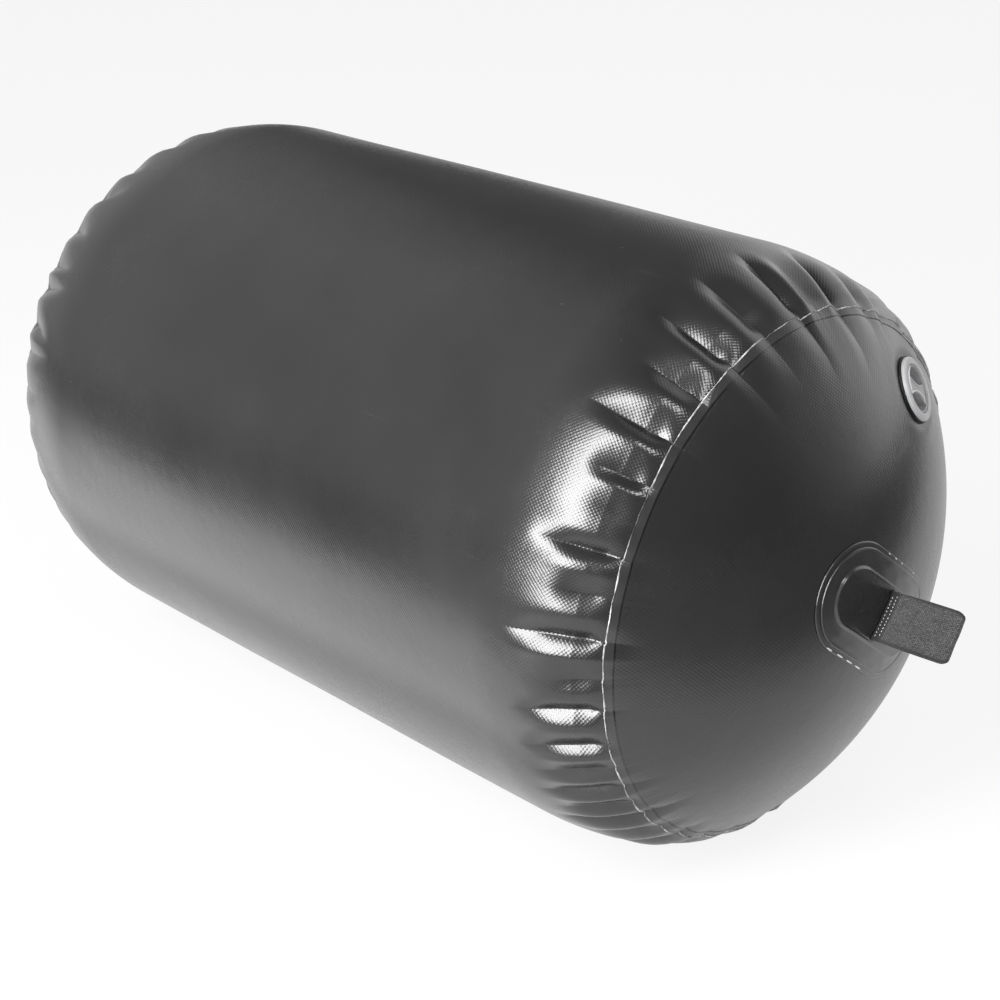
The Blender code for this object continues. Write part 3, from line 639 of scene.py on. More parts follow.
class GatheredEnd:
    """One end's gathers. Each runs as a tuck: the cloth sinks slowly towards the fold and steps
    up again just past it. Columns follow the folds, close together where the cloth turns."""

    right_of_fold = (0.0, 1.0, 2.3, 4.2, 6.6, 9.6, 13.0)
    left_of_fold = (12.0, 8.0, 5.0, 2.7, 1.1)
    between = 3

    def __init__(self, side, gathers):
        self.side = side
        first = [index for index, gather in enumerate(gathers) if gather[0] < 190][-1]
        gathers = gathers[first:] + gathers[:first]
        values = np.array(gathers, float)
        self.angle = np.radians(values[:, 0])
        self.angle = self.angle - 2 * np.pi * (self.angle > self.angle[0] - 1e-9)
        self.angle[0] = math.radians(values[0, 0]) - 2 * np.pi
        self.depth = values[:, 1] * MM
        self.length = values[:, 2] * MM
        self.disc_length = np.maximum(values[:, 3], 12) * MM
        self.lean = np.radians(values[:, 4])
        self.step = values[:, 5] * MM
        self.sharp = values[:, 6]
        self.next = (np.arange(gather_count) + 1) % gather_count
        gap = (self.angle[self.next] - self.angle) % (2 * np.pi)
        width = gap * seam_radius
        index = []
        share = []
        for number in range(gather_count):
            right_scale = min(MM, 0.42 * width[number] / self.right_of_fold[-1])
            left_scale = min(MM, 0.38 * width[number] / self.left_of_fold[0])
            right = np.array(self.right_of_fold) * right_scale
            left = width[number] - np.array(self.left_of_fold) * left_scale
            middle = np.linspace(right[-1], left[0], self.between + 2)[1:-1]
            for place in np.concatenate([right, middle, left]):
                index.append(number)
                share.append(place / width[number])
        self.index = np.array(index)
        self.after = self.next[self.index]
        self.share = np.array(share)

    def fold_angles(self, distance):
        """Angle of each fold's line at a distance from the seam."""
        if distance >= 0:
            reach = np.clip(distance / self.length, 0, 1) ** 1.3
        else:
            reach = 0.45 * np.clip(-distance / (45 * MM), 0, 1)
        return self.angle + self.lean * reach

    def column_angles(self, distance):
        folds = self.fold_angles(distance)
        start = folds[self.index]
        finish = folds[self.after]
        finish = finish + 2 * np.pi * (finish < start)
        return start + self.share * (finish - start)

    def strength(self, distance):
        """How fully each gather shows at a distance from the seam."""
        if distance >= 0:
            rise = smooth_step(1.7 * (1 - distance / self.length))
            return rise * (seam_share + (1 - seam_share) * smooth_step(distance / (17 * MM)))
        depth = -distance
        fall = disc_share + (seam_share - disc_share) * math.exp(-depth / (8 * MM))
        return fall * np.maximum(0, 1 - depth / self.disc_length) ** 2

    def quiet(self, distance, angle):
        """The gathers fade out where the valve is clamped to the disc."""
        if self.side < 0:
            return 1.0
        here = cloth_point(1, angle, np.full_like(angle, distance), 0.0)
        middle = valve_polar - dome_half_angle
        valve = cloth_point(1, np.array([-valve_turn]), np.array([middle * dome_radius]), 0.0)
        reach = np.linalg.norm(here - valve, axis=-1)
        return smooth_step((reach - flange_radius) / flange_radius)

    def valley(self, reach, sharp):
        """Share of a fold's depth at a share of its width: a crease, a soft hollow or between."""
        crease = np.maximum(0, 1 - reach) ** 1.7
        return sharp * crease + (1 - sharp) * (1 - smooth_step(reach))

    def lift(self, distance, angle):
        radius = np.interp(distance, meridian_distance, meridian_values[1])
        folds = self.fold_angles(distance)
        gap = (folds[self.after] - folds[self.index]) % (2 * np.pi)
        width = gap * radius
        past = self.share * width
        ahead = (1 - self.share) * width
        strength = self.strength(distance)
        here = strength[self.index] * self.depth[self.index]
        there = strength[self.after] * self.depth[self.after]
        blend = here * (1 - self.share) + there * self.share
        crest = crest_share * blend * np.sin(np.pi * self.share ** 0.9)
        wall_width = np.minimum(18 * MM, 0.44 * width)
        slope_width = np.minimum(30 * MM, 0.62 * width)
        wall = self.valley(past / wall_width, self.sharp[self.index])
        slope = self.valley(ahead / slope_width, self.sharp[self.after])
        lip = 0.06 * here * bell(past, 0.9 * wall_width, 0.3 * wall_width)
        total = crest + lip - here * wall - there * slope
        if distance < 0:
            total = total * self.quiet(distance, angle)
        return total

    def pucker(self, distance, angle):
        """Small wrinkles beside the seam and slow waves over the whole cloth."""
        near = math.exp(-abs(distance) / (16 * MM))
        small = np.sin(angle * 173 + 1.3 * self.side) * np.sin(angle * 61 + 0.4)
        waves = np.sin(angle * 7 + distance * 9 + self.side) + 0.6 * np.sin(angle * 13 - distance * 17)
        return 0.25 * MM * near * small + 0.35 * MM * waves * float(distance > 0)

    def edge_shift(self):
        """How far the tube's cut edge strays from the seam at each column: a step at each fold."""
        width = ((self.angle[self.after] - self.angle[self.index]) % (2 * np.pi)) * seam_radius
        past = self.share * width
        here = self.step[self.index]
        there = self.step[self.after]
        run = 0.5 * here * (1 - self.share) - 0.5 * there * self.share
        jump = here * (1 - smooth_step(past / (3.2 * MM)))
        wander = 0.35 * MM * np.sin(self.index * 2.3 + self.share * 5)
        return run - jump + wander


near_end = GatheredEnd(1, near_gathers())
far_end = GatheredEnd(-1, far_gathers())


def tube_rows():
    """Distances from the seam for one end of the tube, and the cut edge's own heights."""
    edge = [(0.0, -0.25), (0.0, 0.75), (0.25, 1.1), (0.8, 1.2)]
    fine = [1.6, 2.8, 4.2, 6, 8, 10.5, 13, 16, 19, 22, 24.5, 26.2, 27.4, 28.4, 29.4, 30.6, 32.5]
    rows = [(distance * MM, height * MM) for distance, height in edge]
    rows += [(distance * MM, skin_thickness) for distance in fine]
    distance = 35.5
    while distance < 132:
        rows.append((distance * MM, skin_thickness))
        distance += row_step / MM
    rows += [(distance * MM, skin_thickness) for distance in (137, 144, 154, 168, 186, 210, 240)]
    return rows


def band_swell(distance):
    """The doubled cloth beside the seam lies steeper than the shoulder and ends in a low step."""
    before = 0.9 * MM * min(1.0, distance / flange_band) ** 1.1
    after = 0.8 * MM * (1 - smooth_step((distance - flange_band) / (85 * MM)))
    step = 0.1 * MM * (1 - smooth_step((distance - flange_band) / (3.4 * MM)))
    return before if distance < flange_band else after + step


def tube_row(end, distance, height):
    shift = end.edge_shift() * math.exp(-distance / (14 * MM))
    angle = end.column_angles(distance)
    lift = end.lift(distance, angle) + end.pucker(distance, angle)
    lift = lift + height * (1 - smooth_step((distance - 4 * MM) / (20 * MM)))
    lift = lift + band_swell(distance)
    points = cloth_point(end.side, angle, distance + shift, lift)
    uv = np.stack([angle * bag_radius, end.side * (half_cloth - distance - shift)], -1)
    return points, uv


def tube_mesh():
    near = [tube_row(near_end, *row) for row in tube_rows()]
    far = [tube_row(far_end, *row) for row in tube_rows()]
    last = tube_rows()[-1][0]
    start_angle = near_end.column_angles(last)
    finish_angle = far_end.column_angles(last)
    middle = []
    span = half_cloth - last
    for step in np.linspace(0, 1, 12)[1:-1]:
        share = smooth_step(step)
        angle = start_angle + share * (finish_angle - start_angle)
        along = span * (1 - 2 * step)
        end = near_end if along > 0 else far_end
        distance = half_cloth - abs(along)
        waves = [item.pucker(distance, angle) for item in (near_end, far_end)]
        lift = waves[0] * (1 - share) + waves[1] * share
        points = cloth_point(end.side, angle, np.full_like(angle, distance), lift)
        middle.append((points, np.stack([angle * bag_radius, np.full_like(angle, along)], -1)))
    rows = near + middle + far[::-1]
    points = np.stack([row[0] for row in rows])
    uvs = np.stack([row[1] for row in rows])
    return grid_mesh("bag_tube", points, uvs, (0, 0, axis_height), uv_turn=2 * math.pi * bag_radius)


def disc_rows():
    rows = [-6.0, -2.5, 0.0, 1.2, 2.8, 4.8, 6.8, 7.7, 8.2, 8.7, 9.3, 10.2, 12.2, 14.8, 17.6]
    distance = 20.8
    while distance < 116:
        rows.append(distance)
        distance += row_step / MM
    rows += [122, 132, 146, 164, 186, 210, 236, 262, 280]
    return [row * MM for row in rows]


def disc_mesh(end, name):
    rows = []
    for depth in disc_rows():
        distance = -depth
        angle = end.column_angles(distance)
        lift = end.lift(distance, angle) + end.pucker(distance, angle)
        if depth < 0:
            lift = lift - 0.35 * MM
        band = weld_rise * (1 - smooth_step((depth - weld_band) / (0.8 * MM)))
        groove = 0.2 * MM * bell(depth, weld_band + 1.0 * MM, 0.6 * MM)
        points = cloth_point(end.side, angle, np.full_like(angle, distance), lift + band - groove)
        if end.side > 0:
            points = clamp_at_valve(points)
        rows.append(points)
    points = np.stack(rows)
    mesh = grid_mesh(name, points, points[:, :, 1:], (0, 0, axis_height))
    close_with_point(mesh, points.shape[1], (end.side * apex_x, 0, axis_height))
    past_weld = (np.array(disc_rows()) - weld_band) / MM
    shares = (past_weld < -0.5) * 1.0 - (abs(past_weld - 0.6) < 0.9)
    weld = mesh.attributes.new("weld", "FLOAT", "POINT")
    weld.data.foreach_set("value", np.append(np.repeat(shares, points.shape[1]), 0.0))
    return mesh


# Valve


def end_frame(side):
    """Frame on a disc's apex: X along the patch, Z out of the bag."""
    turn = Matrix.Rotation(0 if side > 0 else math.pi, 3, "Z")
    long_way = turn @ Vector((0, math.cos(patch_turn), math.sin(patch_turn)))
    out = turn @ Vector((1, 0, 0))
    made = Matrix((long_way, out.cross(long_way), out)).transposed().to_4x4()
    made.translation = Vector((side * apex_x, 0, axis_height))
    return made


def valve_frame():
    """Frame on the disc under the valve: Z out along its normal, X away from the bag's axis."""
    radial = Vector((0, math.sin(valve_turn), math.cos(valve_turn)))
    normal = Vector((math.cos(valve_polar), 0, 0)) + radial * math.sin(valve_polar)
    outward = Vector((-math.sin(valve_polar), 0, 0)) + radial * math.cos(valve_polar)
    made = Matrix((outward, normal.cross(outward), normal)).transposed().to_4x4()
    centre = Vector((apex_x - dome_radius, 0, axis_height))
    made.translation = centre + normal * dome_radius
    return made


neck_radius = dish_radius + dish_wall
bag_seat = -touch_gap - gasket_thickness - touch_gap
dish_floor = -dish_depth
groove_top = dish_floor - ledge_height
groove_bottom = groove_top - lug_height - 2 * touch_gap
socket_floor = groove_bottom - socket_floor_drop
web_bottom = socket_floor - web_thickness
groove_radius = socket_radius + lug_reach + touch_gap
lower_neck_radius = groove_radius + lower_neck_wall
neck_bottom = groove_top - lug_height
cap_top = flange_height - cap_rim_drop
cap_radius = dish_radius - fit_clearance
cap_underside = dish_floor + touch_gap + seal_ring_height + touch_gap
spigot_radius = socket_radius - touch_gap
lug_top = groove_top - touch_gap
lug_bottom = lug_top - lug_height
recess_radius = cap_radius - cap_rim_width - 0.2 * MM
recess_reach = recess_radius * math.cos(math.asin((bar_waist / 2 + bar_flare) / recess_radius))


def clamp_at_valve(points):
    """Press the disc flat under the valve's gasket, with a soft rise round it."""
    local = moved(points, valve_frame().inverted())
    reach = np.hypot(local[:, 0], local[:, 1])
    pressed = 1 - smooth_step((reach - flange_radius - gasket_overhang - seat_margin) / seat_fade)
    bulge = seat_bulge_height * bell(reach, seat_bulge_radius, seat_bulge_width)
    near = np.abs(local[:, 2]) < seat_reach
    height = local[:, 2] * (1 - pressed) + bag_seat * pressed + bulge
    hole = (reach < neck_radius - seat_margin) * seat_hole_drop
    local[:, 2] = np.where(near, height - hole, local[:, 2])
    return moved(local, valve_frame())


def turned_mesh(profile, segments=128):
    """Turn a closed outline of (radius, height) points about the local Z axis."""
    bm = bmesh.new()
    rings = []
    for radius, height in profile:
        if radius == 0:
            rings.append([bm.verts.new((0, 0, height))] * segments)
            continue
        ring = []
        for step in range(segments):
            angle = 2 * math.pi * step / segments
            ring.append(bm.verts.new((*on_circle(radius, angle), height)))
        rings.append(ring)
    for index, ring in enumerate(rings):
        following = rings[(index + 1) % len(rings)]
        for step in range(segments):
            after = (step + 1) % segments
            unique = list(dict.fromkeys([ring[step], ring[after], following[after], following[step]]))
            if len(unique) > 2:
                bm.faces.new(unique)
    return bm


def prism_mesh(outlines, low, high):
    bm = bmesh.new()
    for outline in outlines:
        bottom = [bm.verts.new((x, y, low)) for x, y in outline]
        top = [bm.verts.new((x, y, high)) for x, y in outline]
        bm.faces.new(bottom)
        bm.faces.new(top)
        for index in range(len(outline)):
            after = (index + 1) % len(outline)
            bm.faces.new([bottom[index], bottom[after], top[after], top[index]])
    return bm


def sector(inner_radius, outer_radius, middle, half_angle, steps=14):
    outer = []
    inner = []
    for step in range(steps + 1):
        angle = middle - half_angle + 2 * half_angle * step / steps
        outer.append(on_circle(outer_radius, angle))
        inner.append(on_circle(inner_radius, angle))
    return outer + inner[::-1]


def plain_object(name, bm):
    return add_object(name, write_mesh(bm, bpy.data.meshes.new(name)))


def carve(base, tools):
    """Apply boolean tools in turn and give back the finished mesh."""
    for tool, operation in tools:
        cut = base.modifiers.new(tool.name, "BOOLEAN")
        cut.operation = operation
        cut.solver = "EXACT"
        cut.object = tool
    bpy.context.view_layer.update()
    graph = bpy.context.evaluated_depsgraph_get()
    mesh = bpy.data.meshes.new_from_object(base.evaluated_get(graph))
    mesh.materials.clear()
    mesh.polygons.foreach_set("material_index", [0] * len(mesh.polygons))
    for item in [base] + [tool for tool, operation in tools]:
        bpy.data.objects.remove(item, do_unlink=True)
    return mesh


def round_edges(piece, width, segments=3):
    bevel = piece.modifiers.new("rounded_edges", "BEVEL")
    bevel.width = width
    bevel.segments = segments
    bevel.limit_method = "ANGLE"
    bevel.angle_limit = math.radians(40)
    bevel.harden_normals = True
    piece.data.set_sharp_from_angle(angle=math.radians(38))


def fillet(points, corner, radius, steps=5):
    """Round one corner of an outline of (radius, height) points."""
    before = Vector(points[corner - 1])
    here = Vector(points[corner])
    after = Vector(points[(corner + 1) % len(points)])
    first = (before - here).normalized()
    second = (after - here).normalized()
    half = first.angle(second) / 2
    reach = radius / math.tan(half)
    centre = here + (first + second).normalized() * (radius / math.sin(half))
    start = here + first * reach
    finish = here + second * reach
    made = []
    for step in range(steps + 1):
        direction = (start - centre).slerp(finish - centre, step / steps).normalized()
        made.append(tuple(centre + direction * radius))
    return made


def rounded_profile(points, radii):
    result = []
    for index, point in enumerate(points):
        if radii.get(index):
            result += fillet(points, index, radii[index])
        else:
            result.append(tuple(point))
    return result


def make_flange(plastic):
    outline = [
        (dish_radius, flange_height),
        (flange_radius, flange_height),
        (flange_radius, 0),
        (neck_radius, 0),
        (neck_radius, neck_bottom),
        (lower_neck_radius, neck_bottom),
        (lower_neck_radius, web_bottom),
        (stem_radius + touch_gap, web_bottom),
        (stem_radius + touch_gap, socket_floor),
        (socket_radius, socket_floor),
        (socket_radius, groove_bottom),
        (groove_radius, groove_bottom),
        (groove_radius, groove_top),
        (socket_radius, groove_top),
        (socket_radius, dish_floor),
        (dish_radius, dish_floor),
    ]
    profile = rounded_profile(outline, {0: 1.0 * MM, 1: 2.2 * MM, 2: 0.5 * MM, 14: 0.5 * MM})
    base = plain_object("flange_base", turned_mesh(profile))
    holes = [
        sector(hub_radius, air_hole_radius, 2 * math.pi * number / 3, air_hole_half_angle)
        for number in range(3)
    ]
    air = plain_object("air_holes", prism_mesh(holes, web_bottom - tool_overlap, socket_floor + tool_overlap))
    entries = [
        sector(
            socket_radius - tool_overlap, groove_radius, lug_angle(number) + cap_turn_range, slot_half_angle
        )
        for number in range(2)
    ]
    entry_low = groove_top - lug_height / 2
    entry = plain_object("entry_slots", prism_mesh(entries, entry_low, dish_floor + tool_overlap))
    mesh = carve(base, [(air, "DIFFERENCE"), (entry, "DIFFERENCE")])
    mesh.transform(valve_frame())
    flange = make_piece("valve_flange", mesh, plastic, "bag", ["valve_body"])
    flange.data.set_sharp_from_angle(angle=math.radians(35))


def make_cap(plastic, painted_highlight_plastic):
    """The turning cap and the thin raised lips on it, which are coloured near white as a painted highlight
    along their edges.
    """
    place = valve_frame()
    bar_level = cap_top - cap_bar_drop
    inside = cap_radius - cap_rim_width
    outline = [
        (0, bar_level),
        (inside, bar_level),
        (inside, cap_top),
        (cap_radius, cap_top),
        (cap_radius, cap_underside),
        (spigot_radius, cap_underside),
        (spigot_radius, lug_bottom),
        (spigot_radius - spigot_wall, lug_bottom),
        (spigot_radius - spigot_wall, cap_underside),
        (0, cap_underside),
    ]
    profile = rounded_profile(outline, {2: 0.45 * MM, 3: 0.7 * MM, 4: 0.4 * MM})
    base = plain_object("cap_base", turned_mesh(profile))
    recess = plain_object(
        "finger_recesses",
        prism_mesh([finger_recess(1), finger_recess(-1)], bar_level - recess_depth, cap_top + tool_overlap),
    )
    lugs = [
        sector(spigot_radius - spigot_wall / 2, socket_radius + lug_reach, lug_angle(number), lug_half_angle)
        for number in range(2)
    ]
    lug = plain_object("cap_lugs", prism_mesh(lugs, lug_bottom, lug_top))
    mesh = carve(base, [(recess, "DIFFERENCE"), (lug, "UNION")])
    mesh.transform(place)
    cap = make_piece("valve_cap_fine", mesh, plastic, "cap", ["valve_cap"])
    round_edges(cap, 0.45 * MM)
    lips = ridge_mesh("cap_lips", cap_lip_paths(), bar_level - 0.5 * MM)
    lips.transform(place)
    make_piece("cap_lips", lips, painted_highlight_plastic, "cap")


def bar_edge(along):
    """Half width of the cap's grip bar, whose waist is narrower than its ends."""
    return bar_waist / 2 + bar_flare * (along / recess_reach) ** 2


def cap_lip_paths():
    """Lines of the raised lips on the cap: (points, width, top height)."""
    turn = Matrix.Rotation(cap_bar_turn, 2)
    rim = cap_radius - 1.0 * MM
    arc = []
    corner = math.pi + math.atan2(bar_waist / 2 + bar_flare, recess_reach)
    for step in range(33):
        angle = corner + math.radians(-92) * (1 - step / 32)
        arc.append(on_circle(rim, angle))
    edges = []
    for side in (-1, 1):
        edge = []
        for step in range(1, 32):
            along = -recess_reach * (1 - 2 * step / 32)
            edge.append((along, side * (bar_edge(along) - 0.8 * MM)))
        edges.append(edge)
    return [
        ([turn @ Vector(point) for point in arc + edges[0]], 1.3 * MM, flange_height + 0.8 * MM),
        ([turn @ Vector(point) for point in edges[1]], 0.8 * MM, cap_top + 0.2 * MM),
    ]


def ridge_mesh(name, paths, low):
    """Rounded ridges that follow flat paths and taper at both ends."""
    bm = bmesh.new()
    for path, width, top in paths:
        rings = []
        last = len(path) - 1
        for index, point in enumerate(path):
            ahead = path[min(index + 1, last)] - path[max(index - 1, 0)]
            across = Vector((-ahead.y, ahead.x)).normalized() * width / 2
            taper = min(1.0, 0.15 + min(index, last - index) / 7)
            high = low + (top - low) * taper
            round_off = min(0.3 * (high - low), 0.35 * width)
            edge = high - round_off
            section = [(-1, low), (-1, edge), (-0.6, high), (0.6, high), (1, edge), (1, low)]
            rings.append([bm.verts.new((*(point + across * share), height)) for share, height in section])
        join_rings(bm, rings)
    return write_mesh(bm, bpy.data.meshes.new(name))


def spring_ends():
    """Lowest and highest place of the CAD spring along the valve's axis."""
    to_valve = valve_frame().inverted()
    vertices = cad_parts["poppet_spring"].data.vertices
    heights = [(to_valve @ vertex.co).z for vertex in vertices]
    return min(heights), max(heights)


def spring_mesh(low, high, steps_per_turn=28, sides=10):
    """A coil of round wire between two heights, with closed ends."""
    bm = bmesh.new()
    rings = []
    steps = spring_turns * steps_per_turn
    for step in range(steps + 1):
        angle = 2 * math.pi * step / steps_per_turn
        height = low + spring_wire_radius + (high - low - 2 * spring_wire_radius) * step / steps
        outward = Vector((math.cos(angle), math.sin(angle), 0))
        centre = outward * spring_radius + Vector((0, 0, height))
        ring = []
        for side in range(sides):
            turn = 2 * math.pi * side / sides
            offset = outward * math.cos(turn) + Vector((0, 0, math.sin(turn)))
            ring.append(bm.verts.new(centre + offset * spring_wire_radius))
        rings.append(ring)
    join_rings(bm, rings)
    return write_mesh(bm, bpy.data.meshes.new("fine_spring"))


def make_spring(steel):
    """The valve's spring, coiled between the ends of the CAD spring; on the real valve it shortens as the
    button is pushed in.
    """
    place = valve_frame()
    low, high = spring_ends()
    mesh = spring_mesh(low, high)
    mesh.transform(place)
    spring = make_piece("fine_spring", mesh, steel, "bag", ["poppet_spring"])
    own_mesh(spring)


def lug_angle(number):
    return cap_bar_turn + math.pi * number


def finger_recess(side, steps=22):
    """Half-moon on one side of the grip bar."""
    points = []
    for step in range(steps + 1):
        along = recess_reach * (1 - 2 * step / steps)
        points.append((along, side * bar_edge(along)))
    start = math.atan2(points[-1][1], points[-1][0])
    finish = math.atan2(points[0][1], points[0][0])
    for step in range(1, 2 * steps):
        angle = start + (finish - start) * step / (2 * steps)
        points.append(on_circle(recess_radius, angle))
    turn = Matrix.Rotation(cap_bar_turn, 2)
    return [tuple(turn @ Vector(point)) for point in points]


# Patches


def on_dome(u, v, height):
    """Points above the end disc, in the end's own frame with its origin on the apex."""
    return np.stack([u, v, np.sqrt(dome_radius ** 2 - u * u - v * v) - dome_radius + height], -1)


def outline_points(half_length, half_width, round_ends=True, steps=40):
    """Outline with round or square ends, anticlockwise from the lower right."""
    straight = half_length - half_width * round_ends
    points = []
    for end in (1, -1):
        for step in range(steps + 1):
            angle = math.pi * step / steps - math.pi / 2
            x = straight + half_width * math.cos(angle) * round_ends
            y = half_width * (math.sin(angle) if round_ends else 2 * step / steps - 1)
            points.append((end * x, end * y))
        for step in range(1, steps):
            points.append((end * straight * (1 - 2 * step / steps), end * half_width))
    return np.array(points)


def layer_mesh(name, side, rings):
    """A thin closed sheet. Each ring is (outline, top height, bottom height), from the rim in."""
    top = [on_dome(outline[:, 0], outline[:, 1], high) for outline, high, low in rings]
    bottom = [on_dome(outline[:, 0], outline[:, 1], low) for outline, high, low in rings]
    flat = [outline for outline, high, low in rings]
    points = moved(np.stack(bottom[::-1] + top), end_frame(side))
    uvs = np.stack(flat[::-1] + flat)
    mesh = grid_mesh(name, points, uvs, (0, 0, axis_height))
    bm = read_mesh(mesh)
    layer = bm.loops.layers.uv.active
    columns = points.shape[1]
    last = len(bm.verts) - columns
    for column in range(columns):
        after = (column + 1) % columns
        corners = [column, after, last + after, last + column]
        face = bm.faces.new([bm.verts[corner] for corner in corners])
        for loop, source in zip(face.loops, (column, after, after, column)):
            loop[layer].uv = flat[-1][source]
    return write_mesh(bm, mesh)


def layer_rise(inset):
    """Height of a layer's top over its underside, rounded off towards its rim."""
    rounded = math.sqrt(max(0.0, 1 - (1 - min(1, inset / 0.8)) ** 2))
    return patch_thickness * (0.15 + 0.85 * rounded)


def base_patch_rings():
    rings = []
    for inset in (0.0, 0.12, 0.4, 0.8, 1.3, 1.9, 2.6, 3.3, 4.0, 4.5, 6, 10, 18, 28, 38, 48, 53.4):
        depth = inset * MM
        outline = outline_points(base_patch_half_length - depth, base_patch_half_width - depth)
        high = touch_gap + layer_rise(inset)
        bead = 0.25 * MM * bell(inset, 1.4, 0.5)
        rings.append((outline, np.full(len(outline), high + bead), np.full(len(outline), touch_gap)))
    return rings


def cover_patch_rings():
    low = tail_floor
    high = strap_thickness + touch_gap
    half_length = base_patch_half_length - cover_setback
    half_width = base_patch_half_width - cover_setback
    crown_length = strap_tail_length + cover_drape
    crown_width = strap_width / 2 + cover_drape
    crown_inset = half_width - crown_width
    foot_inset = crown_inset - cover_drape_foot
    rings = []
    insets = [0.0, 0.12, 0.4, 0.8, 1.3, 1.9, 2.6, 3.4, 4.4, 5.6, 7, 8.5, 10, 11]
    insets += list(np.linspace(foot_inset / MM, crown_inset / MM + 1, 12))
    for inset in insets:
        depth = inset * MM
        straight = half_length - half_width
        straight += (crown_length - crown_width - straight) * min(1, depth / crown_inset)
        outline = outline_points(straight + half_width - depth, half_width - depth)
        bead = 0.3 * MM * bell(inset, 1.2, 0.5)
        weld = -0.15 * MM * smooth_step((inset - 2) / 1.5) * (1 - smooth_step((inset - 5) / 2))
        rise = high * smooth_step((depth - foot_inset) / (crown_inset - foot_inset))
        roll = 0.25 * MM * bell(depth, crown_inset, 1.4 * MM)
        base = low + rise
        top = base + layer_rise(inset) + bead + weld + roll
        wander = 0.12 * MM * np.sin(outline[:, 0] * 190 + 1) * np.sin(outline[:, 1] * 230)
        rings.append((outline, top + wander * smooth_step(inset / 4), np.full(len(outline), base)))
    crown = outline_points(crown_length - 1 * MM, crown_width - 1 * MM)
    half_gap = ply_gap / 2 + strap_thickness + slot_clearance
    slot = outline_points(half_gap, strap_width / 2 + slot_clearance, round_ends=False)
    for share in (0.15, 0.3, 0.45, 0.6, 0.72, 0.82, 0.89, 0.94, 0.97, 0.99, 1.0):
        outline = crown + (slot - crown) * share
        lip = 0.35 * MM * bell(share, 0.94, 0.05)
        drop = -0.5 * MM * smooth_step((share - 0.975) / 0.025)
        sag = -0.2 * MM * math.sin(math.pi * share)
        top = low + high + patch_thickness + lip + drop + sag
        rings.append((outline, np.full(len(outline), top), np.full(len(outline), low + high)))
    return rings


# Webbing loop


def corner_width(height):
    """Half width of the strap near its fold, where the corners are rounded."""
    past = min(strap_corner_radius * 0.98, max(0.0, height - (loop_height - strap_corner_radius)))
    return strap_width / 2 - strap_corner_radius + math.sqrt(strap_corner_radius ** 2 - past ** 2)


def strap_half_path():
    """Middle line of half the strap as (u, height, half width), from the tail's end to the fold."""
    half_width = strap_width / 2
    ply = (ply_gap + strap_thickness) / 2
    tail_level = tail_floor + strap_thickness / 2
    bend = strap_thickness / 2 + 1.0 * MM
    round_start = strap_tail_length - half_width
    path = []
    for share in (1.0, 0.99, 0.97, 0.94, 0.9, 0.84, 0.75, 0.62, 0.5, 0.35, 0.2, 0.0):
        width = half_width * math.sqrt(max(0.03, 1 - share * share))
        path.append((round_start + half_width * share, tail_level, width))
    for share in (0.8, 0.6, 0.4, 0.2):
        path.append((ply + bend + (round_start - ply - bend) * share, tail_level, half_width))
    for step in range(7):
        turn = math.pi / 2 * step / 6
        u = ply + bend - bend * math.sin(turn)
        path.append((u, tail_level + bend - bend * math.cos(turn), half_width))
    fold = strap_thickness / 2 + ply_gap
    root_top = tail_level + bend + loop_root_length
    fold_centre = loop_height - strap_thickness / 2 - fold
    for step in (0.35, 0.7):
        path.append((ply, tail_level + bend + loop_root_length * step, half_width))
    for step in range(25):
        share = step / 24
        height = root_top + (fold_centre - root_top) * share
        bulge = (loop_eye_width / 2 - ply_gap / 2) * math.sin(math.pi * share)
        path.append((ply + (fold - ply) * share + bulge, height, corner_width(height)))
    for step in (1, 2, 3, 4, 5):
        turn = math.pi / 2 * step / 6
        height = fold_centre + fold * math.sin(turn)
        path.append((fold * math.cos(turn), height, corner_width(height)))
    return path


def strap_section():
    """Outline of the webbing as (station across, face), with rounded selvedges."""
    stations = np.linspace(-0.94, 0.94, 21)
    upper = [(station, 0.5) for station in stations]
    lower = [(station, -0.5) for station in stations[::-1]]
    turns = np.linspace(0, math.pi, 7)[1:-1]
    right = [(0.94 + 0.06 * math.sin(turn), 0.5 * math.cos(turn)) for turn in turns]
    left = [(-station, -face) for station, face in right]
    return upper + right + lower + left


